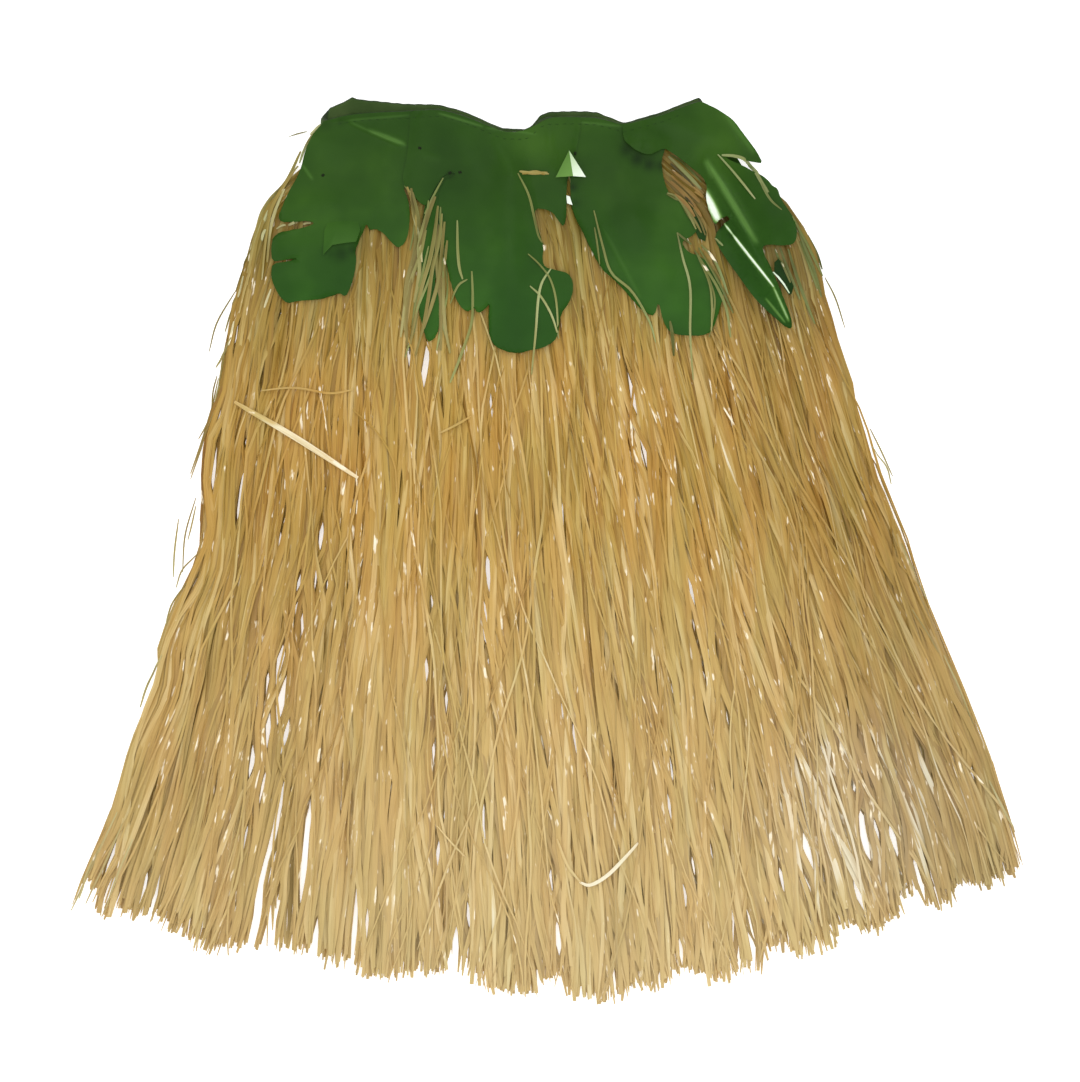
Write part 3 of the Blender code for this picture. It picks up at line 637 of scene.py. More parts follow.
def strand_row(row, width, wander):
    """Paths, widths, rolls and tones of one sewn row of strands."""
    rng, count = np.random.default_rng(row.seed), row.strands
    share = ((np.arange(count) + rng.uniform(0.0, 1.0, count)) / count)[:, None]
    down = np.concatenate([[-ROOT, 0.0], np.linspace(ROOT, 1.0, STRAND_POINTS - 2)])[None]
    first, last = ROOT_INSET
    root = np.interp(share, (0, 1), (BAND_MOUTH[0, 0] + first, BAND_MOUTH[-1, 0] - last))
    mouth = np.interp(root, BAND_MOUTH[:, 0], BAND_MOUTH[:, row.mouth_column])
    where = fan_places(rng, row, share, down, wander)
    height = mouth + (cut_ends(rng, where[:, -1:]) - mouth) * down
    across = root + (fan_out(height, where) - root) * eased((down + ROOT) / FANNED_BY)
    away = mouth - height
    bends = waves(rng, away, WANDERING)
    across = across + wander * edge_room(share) * bends * eased(away / WANDER_FROM)
    across = across + kinks(rng, count, down)
    bold = rng.random((count, 1)) < BOLD
    across = np.where(bold, across, part_strands(across, height, 0.5 * width))
    slack = np.minimum(rng.exponential(EDGE_SLACK, (count, 1)), MOST_SLACK)
    across = np.clip(across, fan_edge(height, 1) - slack, fan_edge(height, 2) + slack)

    level = rng.random((count, 1))
    up = np.interp(down, row.shares, row.heights) + ROW_SPREAD * level * eased(9 * down)
    up = up + waves(rng, away, RISING)
    up = np.maximum(up, LOWEST)
    paths = np.stack(np.broadcast_arrays(across, height, up), axis=-1)
    widths, rolls = strand_shapes(rng, away, down, up, width)
    # Strands low in the pile are painted darker, as shade.
    tones = rng.normal(row.tone, TONE_SPREAD, count) + DEPTH_SHADE * (level[:, 0] - 0.5)
    return paths, widths, rolls, np.clip(tones, *TONES)


straw = raffia_material("raffia_straw", STRAW)
grass = []
for row in ROWS:
    strands = strand_row(row, STRAND_WIDTH, 1.0)
    laid = lay_strands(row.node.replace("fringe", "raffia"), *strands, straw)
    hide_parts(row.node)
    grass.append(laid)


# ---- Split fibres: hair-thin raffia that has frayed off the strands ----
# They lie on the outside of the front and the back, and cross the strands.
FIBRES_ON_A_SIDE = 90
FIBRE_WIDTH = 1.5
FIBRE_WANDER = 1.8
FIBRE_TONES = (0.15, 0.8)   # how pale they are at least, and how much of a strand's tone
# Columns: piece, the row that they frayed from and how far above it they lie.
for name, source, raised in (("raffia_fibres_front", ROWS[3], 2.3), ("raffia_fibres_back", ROWS[0], 0.2)):
    heights = tuple(height + raised * (share > 0.25)
                    for share, height in zip(source.shares, source.heights))
    fibre_row = source._replace(seed=source.seed + 40, strands=FIBRES_ON_A_SIDE, heights=heights)
    paths, widths, rolls, tones = strand_row(fibre_row, FIBRE_WIDTH, FIBRE_WANDER)
    least, kept = FIBRE_TONES
    grass.append(lay_strands(name, paths, widths, rolls, tones * kept + least, straw))


# ---- Waistband: dark green binding tape folded over the roots of the raffia ----
# One folded tape goes round the waist and lies pressed flat, back under front.
# The elastic in its fold gathers it into small uneven puckers.
TAPE = 1.2
PANEL = 6.5
BACK_MIDDLE, FRONT_MIDDLE = 5.85, 13.35
BAND_HEIGHT = 15.0
# The band's top edge. Columns: place across, back height, front height.
BAND_EDGE = np.array([
    (-164.2, 329.5, 322.6), (-160.4, 333.4, 323.4), (-152, 336.8, 326), (-143.8, 341.2, 327.4),
    (-140, 339.9, 327.8), (-134, 339, 328.4), (-126, 338.4, 329), (-116, 337.3, 329.4),
    (-104, 336.2, 329.8), (-88, 335.9, 330.8), (-79, 335.6, 331.2), (-68.7, 333, 329),
    (-62, 331.2, 327), (-50.7, 326.6, 323), (-38.7, 321, 317.8), (-30.5, 317.9, 314.4),
    (-14.5, 317.1, 314), (-9.5, 319, 316), (-2.7, 327.4, 323.2), (3.3, 330.1, 325.2),
    (20, 330.7, 325.6), (33, 330.5, 325.4), (39.7, 330, 325), (60.7, 321.8, 319.5),
    (74, 325.8, 323.2), (88.4, 329.9, 326.9), (103, 335.8, 332.5), (111.3, 338.9, 335.6),
    (117.2, 341.2, 337.6), (119.2, 336, 334.7),
])
# Between these the tape lies straight, and round them it turns to the back.
BAND_ENDS = (-160.4, 115.4)
BAND_STATIONS = 150         # along the front, and as many along the back
MERGE, SNAP = 0.00001, 0.00002      # metres
GATHER = 0.045              # how far the elastic draws in the tape's width
PUCKER_DIP = 0.13           # and how far its top edge dips in a pucker
PUCKERED_ABOVE = 8.0        # from the tape's mouth up
FOLDED_ABOVE = 13.4         # from the tape's mouth up to its folded edge


def binding_material():
    """Dark green woven tape with a fine cross rib."""
    made, tree, shader = new_material("binding_tape_green")
    place = add_node(tree, "TexCoord", {}, "Object")
    rib = add_node(tree, "TexWave", {"Vector": place, "Scale": 520.0, "Distortion": 0.6}, "Fac")
    green = colour_ramp(tree, noise(tree, place, 45.0, 4.0),
                        [(0.3, (0.030, 0.062, 0.012)), (0.7, (0.054, 0.092, 0.024))])
    # The folded top edge of the tape is painted darker, as the shade along the fold.
    darker = masked_tint(tree, green, carried(tree, "fold_edge"), (0.30, 0.34, 0.36))
    relief = add_node(tree, "Bump", {"Height": rib, "Strength": 0.4, "Distance": 0.0002})
    connect(tree, shader, {"Base Color": darker, "Normal": relief, "Roughness": 0.62,
                           "Specular IOR Level": 0.10})
    return made


def tape_outline():
    """The folded tape's closed outline: outwards from its middle, up from its mouth."""
    outer, inner = PANEL / 2, PANEL / 2 - TAPE
    top = BAND_HEIGHT - outer
    turns = np.radians(np.linspace(0, 180, 11))
    outside = [(outer * math.cos(a), top + outer * math.sin(a)) for a in turns]
    inside = [(-inner * math.cos(a), top + inner * math.sin(a)) for a in turns]
    return [(outer, 0), (outer, 4), (outer, 8), *outside, (-outer, 8), (-outer, 4), (-outer, 0),
            (-inner, 0), (-inner, 6), *inside, (inner, 6), (inner, 0)]


def band_stations():
    """Places round the flattened loop: across, height, outward turn, front share."""
    radius, middle = (FRONT_MIDDLE - BACK_MIDDLE) / 2, (FRONT_MIDDLE + BACK_MIDDLE) / 2
    run = np.linspace(*BAND_ENDS, BAND_STATIONS)
    turns = np.radians(np.linspace(0, 180, 12)[1:-1])
    right = [(run[-1] + radius * math.sin(a), middle + radius * math.cos(a), a) for a in turns]
    left = [(run[0] - radius * math.sin(a), middle - radius * math.cos(a), a + math.pi)
            for a in turns]
    front = [(x, FRONT_MIDDLE, 0.0) for x in run]
    back = [(x, BACK_MIDDLE, math.pi) for x in run[::-1]]
    return [(x, z, a, (1 + math.cos(a)) / 2) for x, z, a in front + right + back + left]


def band_edge(across, front_share):
    """Height of the band's top edge, from the back (0) to the front (1)."""
    back = np.interp(across, BAND_EDGE[:, 0], BAND_EDGE[:, 1])
    front = np.interp(across, BAND_EDGE[:, 0], BAND_EDGE[:, 2])
    return back + (front - back) * front_share


def pucker(across, front_share):
    """Uneven gathers along the elastic, about 9 mm apart."""
    slow = 1 + 0.5 * math.sin(across / 23.0 + 3 * front_share)
    return slow * math.sin(across * 0.70 + 1.3 * math.sin(across / 17.0) + 2 * front_share)


def finished_mesh(bm, name):
    """The mesh of a finished shape, shaded smooth."""
    mesh = bpy.data.meshes.new(name)
    bm.to_mesh(mesh)
    bm.free()
    mesh.shade_smooth()
    return mesh


stations, outline = band_stations(), tape_outline()
bm = bmesh.new()
bmesh.ops.create_grid(bm, x_segments=len(stations), y_segments=len(outline), size=0.5)
fold_edge = bm.verts.layers.float.new("fold_edge")
for vert in bm.verts:
    station = round((vert.co.x + 0.5) * len(stations)) % len(stations)
    corner = round((vert.co.y + 0.5) * len(outline)) % len(outline)
    across, middle, turn, front_share = stations[station]
    out, up = outline[corner]
    vert[fold_edge] = min(1.0, max(0.0, (up - FOLDED_ABOVE) / TAPE))
    fold = pucker(across, front_share)
    body = math.sin(math.pi * min(1.0, up / BAND_HEIGHT))
    out *= 1 - GATHER * body * (1 + fold)
    high = band_edge(across, front_share) - BAND_HEIGHT + up
    high -= PUCKER_DIP * (1 + fold) * (up > PUCKERED_ABOVE)
    vert.co = Vector((across + out * math.sin(turn), high, middle + out * math.cos(turn))) * MM
bmesh.ops.remove_doubles(bm, verts=bm.verts, dist=MERGE)
bmesh.ops.recalc_face_normals(bm, faces=bm.faces)
tape_mesh = finished_mesh(bm, "binding_tape")
binding_tape = add_piece("binding_tape", tape_mesh, [binding_material()])
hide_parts("waistband")


# ---- Leaves: palm leaves cut out of coated green cloth ----
# Nine leaves are sewn by their tops to the outside of the band, five in front
# and four behind. Each hangs from the band onto the raffia and keeps its folds.
LEAF_GRID = 2.5
LEAF_CLOTH = 0.7
TOP_BELOW_BAND = 1.2
TOP_POINTS = 12
GRID_SPARE = 8              # grid lines past either side of a leaf's solid
FACING_UP = 0.25            # how far a face of the solid looks up to be its upper side
SETTLED = 14                # rounds of smoothing as the cloth settles
DOWN = Vector((0, 0, -1))
LINE_START = 0.1            # metres above or below the skirt, where a line through it starts
# Close to the band the centre leaf's edge is pressed flat: how far in from the cut,
# from what height up, and over how long a stretch the pressing sets in.
PRESSED_EDGE, PRESSED_ABOVE, PRESSED_OVER = 9.0, 256.0, 12.0
PRESSED_GAP = 0.1
# Lower down the front leaves hang free, so that they ripple and their edges curl up.
HANGING_BELOW, HANGING_OVER = 272.0, 30.0
RIPPLE, CURL = 0.35, 0.8
# A crease up to this wide gets its own edges, at these shares of its width. They are
# cut within its reach to either side, and a little past its ends.
NARROW_CREASE = 4.5
CREASE_CUTS = (-1.6, -0.9, -0.4, 0.0, 0.4, 0.9, 1.6)
CREASE_REACH, CREASE_PAST = 2.2, 0.08
# The cut edges of the wide front leaves, from one end of the sewn top round to the
# other. The narrow leaf and those behind take the shape of their solids.
LEAF_CUTS = {
    "leaf_front_left": (
        (-165, 320), (-169, 316), (-173, 311), (-176, 305), (-179, 297), (-181, 288),
        (-184, 280), (-190, 270), (-195, 259), (-198, 250), (-196, 246.5), (-186, 246),
        (-176, 247), (-171, 245), (-177, 242.5), (-187, 240), (-197, 238), (-202, 234),
        (-204, 227), (-203, 216.4), (-195, 217.4), (-186, 219.2), (-184, 218), (-190, 216.6),
        (-203, 215), (-204, 206), (-202, 199), (-198, 191), (-192, 185), (-184, 187),
        (-170, 188), (-158, 191), (-153, 193), (-148, 190), (-144, 198), (-141, 209),
        (-140, 218), (-141, 225), (-138, 233), (-135, 239), (-132.5, 245), (-130, 240),
        (-126, 241), (-120, 238), (-114, 231), (-109, 226.5), (-104, 230), (-101, 238),
        (-100, 250), (-101, 262), (-105, 272), (-100, 282), (-94, 300), (-92, 320),
    ),
    "leaf_front_centre": (
        (-100, 320), (-101, 306), (-103, 290), (-106, 279), (-103, 271), (-97, 265),
        (-92, 260), (-88, 258), (-85, 264), (-81, 272), (-75, 281), (-67, 283), (-66, 281),
        (-73, 278), (-78, 269), (-79, 258), (-77, 242), (-74, 228), (-72, 213), (-69, 200),
        (-66, 189), (-61, 181), (-56, 179), (-52, 183), (-49, 178), (-44, 181), (-40, 186),
        (-41, 172), (-40, 160), (-36, 153), (-28, 149.5), (-19, 148), (-11, 150), (-3, 151),
        (4, 154), (10, 159), (11, 168), (13, 178), (19, 186), (22, 193), (22, 202),
        (18, 208), (9, 210), (1, 212), (-1, 217), (0, 227), (-3, 238), (-7, 249),
        (-6, 256), (1, 255.5), (7, 253), (11, 247), (15, 242), (17, 252), (17, 268),
        (18, 280), (24, 296), (28, 318),
    ),
    "leaf_front_slanting": (
        (24, 320), (22, 300), (20, 280), (20, 268), (21, 258), (24, 249), (29, 240),
        (33, 231), (38, 221), (44, 211), (51, 205), (58, 198), (65, 190), (71, 183),
        (77, 178), (83, 176), (86, 187), (89, 173), (93, 165), (99, 162), (108, 161),
        (119, 161), (125, 164), (129, 173), (132, 183), (135, 191), (131, 199), (128, 208),
        (123, 216), (116, 221), (109, 223), (104, 228), (104, 232), (112, 236), (116, 242),
        (113, 249), (107, 254), (101, 262), (94, 267), (91, 274), (89, 283), (88, 292),
        (92, 304), (94, 316),
    ),
    "leaf_front_right": (
        (59, 313), (60, 307), (64, 303), (69, 299), (75, 296.5), (80, 296), (85, 298.5),
        (90, 301), (97, 297), (104, 291.5), (112, 285), (119, 279), (122, 272), (121, 263),
        (124, 253), (128, 243), (131, 248), (137, 250), (139, 247), (134, 243), (129, 238),
        (128, 232), (134, 222), (140, 213), (146, 205), (152, 196), (159, 187), (166, 180),
        (173, 174), (180, 168.5), (184, 166.5), (185.5, 168), (183, 178), (178, 190),
        (173, 202), (168, 213), (164.5, 220), (163, 227), (168, 229), (178, 228), (186, 229),
        (189, 233), (189, 241), (187, 249), (182, 256), (177, 264), (175, 271), (171, 273),
        (168, 277), (163, 281), (157, 283.5), (149, 288), (140, 291.5), (136, 294),
        (143, 294.5), (150, 292), (157, 290.5), (164, 289.6), (159.5, 298.3), (153.5, 306.3),
        (147.5, 314.3), (144.5, 318.6), (141, 322.6), (135.3, 326.6), (129.3, 330.6), (123.3, 333.3),
    ),
}
# A fold or crease runs from a start to an end. A negative rise is a trough, and
# the last column is the highlight painted along the fold where the light catches it.
Crease = namedtuple("Crease", "start_across start_height end_across end_height rise width pale")
LEAF_CREASES = {
    "leaf_front_left": (
        Crease(-144, 320, -108, 303.5, 1.2, 1.2, 0.07),
        Crease(-130, 313.8, -104.5, 304.2, 1.2, 1.7, 0.17), Crease(-180, 288, -173, 278, 0.5, 1.2, 0.10),
        Crease(-157, 320.8, -100, 326.0, 0.3, 0.9, 0.06),
        Crease(-178, 312, -152, 290, 0.5, 9.0, 0.015), Crease(-190, 256, -140, 262, 0.5, 8.0, 0.0),
        Crease(-200, 205, -150, 200, -0.5, 8.0, 0.0), Crease(-116, 296, -118, 240, 0.6, 9.0, 0.0),
        Crease(-196, 228, -166, 226, 0.5, 7.0, 0.0),
    ),
    "leaf_front_slanting": (
        Crease(44, 314, 100, 172, 0.8, 10.0, 0.0), Crease(32, 268, 66, 206, 0.6, 5.0, 0.015),
        Crease(62, 262, 92, 250, -0.6, 8.0, 0.0), Crease(70, 214, 96, 206, 0.5, 6.0, 0.0),
        Crease(116, 206, 120, 168, -0.5, 6.0, 0.0), Crease(27, 320.6, 58, 317.6, 0.3, 0.9, 0.07),
        Crease(42, 246, 72, 190, 0.3, 1.6, 0.05),
    ),
    "leaf_front_centre": (
        Crease(-28, 312, -23, 160, 0.8, 9.0, 0.0), Crease(-14, 304, -6, 262, -0.5, 5.0, 0.0),
        Crease(-62, 312, -44, 276, 0.6, 6.0, 0.015), Crease(-36, 306, -22, 280, 0.5, 3.0, 0.015),
        Crease(4, 318, 6, 292, -0.6, 3.0, 0.0), Crease(-58, 236, -30, 220, -0.5, 7.0, 0.0),
        Crease(-10, 176, 8, 196, 0.6, 6.0, 0.0), Crease(-90, 296, -78, 292, 0.4, 3.0, 0.015),
        Crease(-78, 327.0, -46, 317.4, 0.3, 0.9, 0.11), Crease(-42, 316.0, -6, 311.6, 0.3, 0.9, 0.08),
    ),
    "leaf_front_right": (
        Crease(122, 290, 158, 231, 1.6, 2.4, 0.22), Crease(126, 286, 156, 240, 0.3, 4.0, 0.05),
        Crease(120, 268, 131, 246, 1.0, 2.6, 1.0), Crease(121, 291, 127, 278, 0.4, 2.0, 0.16),
        Crease(135, 244, 171, 197, 1.0, 0.8, 1.0), Crease(171, 197, 183, 172, 0.8, 0.9, 0.45),
        Crease(166, 188, 180, 171, 0.4, 0.8, 0.25), Crease(136, 326, 157, 298, 1.2, 2.0, 0.10),
        Crease(86, 322, 132, 308, 0.8, 7.0, 0.015), Crease(146, 270, 176, 240, -0.7, 9.0, 0.0),
        Crease(66, 306, 92, 304, 0.8, 5.0, 0.015), Crease(142, 238, 166, 204, -1.2, 4.0, 0.0),
    ),
    "leaf_front_narrow": (Crease(-76, 300, -88, 166, 0.5, 3.0, 0.0),),
    "leaf_back_left": (
        Crease(-150, 316, -170, 204, 0.4, 8.0, 0.0), Crease(-170, 280, -120, 262, -0.3, 6.0, 0.0),
    ),
    "leaf_back_centre": (
        Crease(-30, 310, -14, 168, 0.4, 8.0, 0.0), Crease(-60, 288, -20, 262, -0.3, 6.0, 0.0),
    ),
    "leaf_back_slanting": (
        Crease(58, 312, 110, 180, 0.4, 8.0, 0.0), Crease(40, 280, 80, 262, -0.3, 6.0, 0.0),
    ),
    "leaf_back_right": (
        Crease(100, 308, 176, 164, 0.4, 8.0, 0.0), Crease(120, 262, 190, 226, -0.3, 6.0, 0.0),
    ),
}
# Small stretches of cloth that are turned up, or show under a leaf. Each is a strip
# of rows, whose corners hold: across, height, how far off the leaf, and painted light:
# a highlight where it is positive, shade where it is negative.
TURNED = {
    "leaf_front_centre": (
        # A turned-up corner in two facets, painted lighter as highlight, the right facet white with
        # painted glare.
        (((9, 279, 1.6, 0.30), (22, 279.5, 3.6, 0.36)), ((19, 299, 2.2, 0.24), (19, 299, 2.2, 0.24))),
        (((22, 279.5, 3.6, 0.9), (31.5, 279, 1.4, 1.0)), ((19, 299, 2.2, 0.55), (19, 299, 2.2, 0.55))),
        # A painted glint in the slit below the corner.
        (((17.6, 260.0, -0.8, 1.0), (21.6, 258.6, -0.8, 1.0)),
         ((16.8, 266.0, -0.8, 1.0), (19.6, 265.0, -0.8, 1.0))),
    ),
    "leaf_front_left": (
        # A curled patch, painted a little lighter where it tilts to the light.
        (((-165, 221, 1.2, 0.06), (-158, 228.5, 2.0, 0.10), (-149, 230, 2.4, 0.10),
          (-140, 231, 2.0, 0.08)),
         ((-164, 240, 0.8, 0.04), (-155, 240, 1.3, 0.05), (-146, 240, 1.4, 0.05),
          (-137, 240, 1.0, 0.04)),
         ((-160, 248, -0.4, 0.0), (-153, 249, -0.4, 0.0), (-145, 249, -0.4, 0.0),
          (-139, 248, -0.4, 0.0))),
    ),
    "leaf_front_slanting": (
        # Cloth showing under the leaf's edge, painted darker as shade.
        (((101, 264, -0.7, -0.3), (110.5, 261, -0.7, -0.4)),
         ((105, 255, -0.7, -0.3), (115, 253, -0.7, -0.5)),
         ((110, 247, -0.7, -0.4), (119, 245, -0.7, -0.6)),
         ((113, 240, -0.7, -0.5), (122, 238, -0.7, -0.6)),
         ((116, 234, -0.7, -0.5), (121, 231.5, -0.7, -0.6))),
    ),
    "leaf_front_right": (
        # Cloth under the leaf's tip, painted dark as shade.
        (((172, 215, -1.8, -0.8), (175, 218, -1.8, -0.9)),
         ((172, 208, -1.8, -0.8), (180.5, 211.5, -1.8, -0.9)),
         ((175, 202, -1.8, -0.8), (183, 205, -1.8, -0.9)),
         ((179, 197, -1.8, -0.8), (186.5, 197.5, -1.8, -0.9)),
         ((183, 191, -1.8, -0.8), (185, 191.5, -1.8, -0.9))),
        # A painted glint along the edge of the leaf's tip.
        (((170.6, 207.7, -0.9, 0.8), (171.4, 208.1, -0.9, 0.8)),
         ((174.2, 203.8, -0.9, 0.9), (175.3, 204.6, -0.9, 0.9)),
         ((178.8, 198.2, -0.9, 0.9), (179.8, 199.0, -0.9, 0.9)),
         ((183.0, 192.0, -0.9, 0.7), (183.6, 192.4, -0.9, 0.7))),
    ),
}
# Painted shade and shadow on the cloth: under the turned patch and the right leaf's flap, in the slits,
# below the band's edge and broadly on the slanting leaf. The small spots at the tacks are where thread
# pulls the cloth in.
DARK_SPOTS = {
    "leaf_front_left": (
        Spot(-151, 222, 6.0, 0.7), Spot(-143, 225, 4.0, 0.7), Spot(-158, 222, 3.5, 0.4),
        Spot(-163, 319, 6.0, 0.45), Spot(-152, 321, 4.0, 0.35),
    ),
    "leaf_front_centre": (
        Spot(-70, 281, 2.6, 0.8), Spot(23, 297, 2.4, 0.8), Spot(19, 276, 2.4, 1.0),
    ),
    "leaf_front_slanting": (
        Spot(62, 300, 5.5, 0.8), Spot(70, 293, 5.5, 0.9), Spot(79, 289, 5.0, 0.9),
        Spot(87, 288, 4.0, 0.8), Spot(22, 272, 3.0, 0.9), Spot(24, 260, 3.0, 0.5),
        Spot(60, 260, 18.0, 0.25), Spot(50, 282, 12.0, 0.2),
    ),
    "leaf_front_right": (Spot(132, 243, 3.0, 0.8), Spot(140, 236, 3.0, 0.5)),
}


def leaf_material():
    """Coated leaf-green cloth: smooth and mottled, with painted highlights along the folds and painted
    shade.
    """
    made, tree, shader = new_material("leaf_cloth_green")
    place = add_node(tree, "TexCoord", {}, "Object")
    green = colour_ramp(tree, noise(tree, place, 16.0, 3.0), [
        (0.30, (0.015, 0.052, 0.004)), (0.52, (0.023, 0.071, 0.006)),
        (0.74, (0.038, 0.104, 0.009))])
    # The green is brighter towards the tips of the leaves.
    height = add_node(tree, "SeparateXYZ", {"Vector": place}, "Y")
    tips = fade(tree, height, 0.28, 0.18, 0.75, "LINEAR")
    brighter_tips = masked_tint(tree, green, tips, (0.80, 1.12, 1.2))
    # The value is positive where a highlight is painted on the cloth, and negative where shade is painted
    # on it, and at the tacks, where thread pulls it in.
    sheen_shade_and_pulls = carried(tree, "sheen_shade_and_pulls")
    dark, highlight_mask = (add_node(tree, "Math", {0: sheen_shade_and_pulls, 1: factor}, operation="MULTIPLY",
                             use_clamp=True) for factor in (-1.0, 2.5))
    shaded = masked_tint(tree, brighter_tips, dark, (0.30, 0.34, 0.40))
    light_and_marks = colour_ramp(tree, sheen_shade_and_pulls, [(0.0, (0.10, 0.24, 0.045)), (0.35, (0.16, 0.32, 0.07)),
                                    (0.75, (0.60, 0.75, 0.50)), (1.0, (0.86, 0.95, 0.82))])
    weave = add_node(tree, "TexVoronoi", {"Vector": place, "Scale": 1400.0}, "Distance")
    fine = add_node(tree, "Bump", {"Height": weave, "Strength": 0.12, "Distance": 0.0001})
    broad = add_node(tree, "Bump", {"Height": noise(tree, place, 60.0, 5.0), "Normal": fine,
                                    "Strength": 0.2, "Distance": 0.0010})
    connect(tree, shader, {"Base Color": masked_tint(tree, shaded, highlight_mask, light_and_marks, "MIX"),
                           "Normal": broad, "Roughness": 0.36, "Specular IOR Level": 0.07})
    return made


def crease_effect(creases, across, height):
    """How far the creases raise a place, and how strong a highlight they paint on it."""
    rise, pale = 0.0, 0.0
    for crease in creases:
        start = Vector((crease.start_across, crease.start_height))
        run = Vector((crease.end_across, crease.end_height)) - start
        along = (Vector((across, height)) - start).dot(run) / run.length_squared
        near = start + run * min(1.0, max(0.0, along))
        away = (Vector((across, height)) - near).length / crease.width
        # A crease fades out at both ends, and to either side.
        fade = math.sin(math.pi * min(0.98, max(0.02, 0.1 + 0.8 * along))) ** 0.7
        strength = fade * math.exp(-away * away)
        rise += crease.rise * strength
        pale = max(pale, crease.pale * min(1.0, 1.6 * strength))
    return rise, pale


def add_turned(bm, strips, sheen_shade_and_pulls):
    """Adds the turned-up strips, each corner at its height off the nearest cloth."""
    cloth = list(bm.verts)
    for rows in strips:
        made = {}
        for x, y, off, light_and_marks in dict.fromkeys(corner for row in rows for corner in row):
            place = Vector((x, y)) * MM
            near = min(cloth, key=lambda vert: (vert.co.to_2d() - place).length)
            made[x, y] = bm.verts.new((place.x, place.y, near.co.z + off * MM))
            made[x, y][sheen_shade_and_pulls] = light_and_marks
        for low, high in zip(rows, rows[1:]):
            for i in range(len(low) - 1):
                ring = [made[corner[:2]] for corner in (low[i], low[i + 1], high[i + 1], high[i])]
                bm.faces.new(dict.fromkeys(ring)).smooth = True


def top_edge(start, end):
    """Points of a leaf's sewn top, which follows the band just below its edge."""
    return [(x, band_edge(x, 1.0) - TOP_BELOW_BAND) for x in np.linspace(start, end, TOP_POINTS)]


def rounded(points):
    """The outline with its corners cut once, as scissors leave them."""
    ring = zip(points, points[1:] + points[:1])
    return [(x0 + (x1 - x0) * t, y0 + (y1 - y0) * t) for (x0, y0), (x1, y1) in ring
            for t in (0.22, 0.78)]


def cut_leaf(node):
    """A front leaf's flat blank, to be laid onto the top of its solid."""
    cut = list(LEAF_CUTS[node])
    blank = rounded(cut + top_edge(cut[-1][0], cut[0][0]))
    bm = bmesh.new()
    bm.faces.new([bm.verts.new((x * MM, y * MM, 0.0)) for x, y in blank])
    bm.normal_update()
    bmesh.ops.triangulate(bm, faces=bm.faces)
    return bm


def solid_skin(node):
    """The upper side of a leaf's solid."""
    bm = bmesh.new()
    bm.from_mesh(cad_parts[node].data)
    bmesh.ops.remove_doubles(bm, verts=bm.verts, dist=MERGE)
    bm.normal_update()
    hidden = [face for face in bm.faces if face.normal.z < FACING_UP]
    bmesh.ops.delete(bm, geom=hidden, context="FACES")
    return bm


def cut_along_creases(bm, creases):
    """Gives a narrow crease its own edges, so that it stays crisp."""
    for crease in creases:
        if crease.width > NARROW_CREASE:
            continue
        start = Vector((crease.start_across, crease.start_height, 0)) * MM
        run = Vector((crease.end_across, crease.end_height, 0)) * MM - start
        aside = Vector((-run.y, run.x, 0)).normalized()
        reach = CREASE_REACH * crease.width * MM + 2 * MM
        for share in CREASE_CUTS:
            near = []
            for face in bm.faces:
                away = face.calc_center_median() - start
                along = away.dot(run) / run.length_squared
                beside = abs(away.to_2d().dot(aside.to_2d()))
                if -CREASE_PAST < along < 1 + CREASE_PAST and beside < reach:
                    near.append(face)
            parts = dict.fromkeys(part for face in near for part in (*face.verts, *face.edges, face))
            bmesh.ops.bisect_plane(bm, geom=list(parts), plane_no=aside, dist=SNAP,
                                   plane_co=start + aside * share * crease.width * MM)


def search_trees(pieces):
    """A search tree for each piece, to find where a line meets it."""
    graph = bpy.context.evaluated_depsgraph_get()
    return [BVHTree.FromObject(piece, graph) for piece in pieces]


def surface_at(trees, x, y, side=1):
    """Where a line straight through the skirt meets it first, from the front or back."""
    start = Vector((x, y, LINE_START * side))
    hits = [tree.ray_cast(start, DOWN * side)[0] for tree in trees]
    return max((hit for hit in hits if hit), key=lambda hit: hit.z * side, default=None)


def lay_on_solid(bm, node, creases):
    """Cuts the cloth into a fine grid and drops it onto its solid."""
    low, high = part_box(node)
    for axis in (0, 1):
        normal = Vector((axis == 0, axis == 1, 0))
        count = int((high[axis] - low[axis]) / (LEAF_GRID * MM)) + GRID_SPARE
        for i in range(-GRID_SPARE, count):
            point = Vector(low) + normal * (i + 0.5) * LEAF_GRID * MM
            bmesh.ops.bisect_plane(bm, geom=bm.verts[:] + bm.edges[:] + bm.faces[:],
                                   plane_co=point, plane_no=normal, dist=SNAP)
    bmesh.ops.remove_doubles(bm, verts=bm.verts, dist=10 * SNAP)
    cut_along_creases(bm, creases)
    [tree] = search_trees([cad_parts[node]])
    for vert in bm.verts:
        hit = surface_at([tree], vert.co.x, vert.co.y)
        near = tree.find_nearest(Vector((vert.co.x, vert.co.y, high[2])))[0]
        vert.co.z = (hit or near).z
    for _ in range(SETTLED):
        bmesh.ops.smooth_vert(bm, verts=bm.verts, factor=0.5, use_axis_z=True)


def press_edges(bm, under):
    """Presses a sewn leaf's edge flat onto the leaf below it, close to the band."""
    trees = search_trees(under)
    rim = [vert.co.to_2d() for vert in bm.verts if vert.is_boundary]
    for vert in bm.verts:
        inward = min((vert.co.to_2d() - place).length for place in rim)
        hold = float(eased(1.0 - inward / (PRESSED_EDGE * MM)))
        hold *= float(eased((vert.co.y / MM - PRESSED_ABOVE) / PRESSED_OVER))
        top = surface_at(trees, vert.co.x, vert.co.y)
        if top:
            flush = top.z + (LEAF_CLOTH + PRESSED_GAP) * MM
            vert.co.z += hold * (flush - vert.co.z)


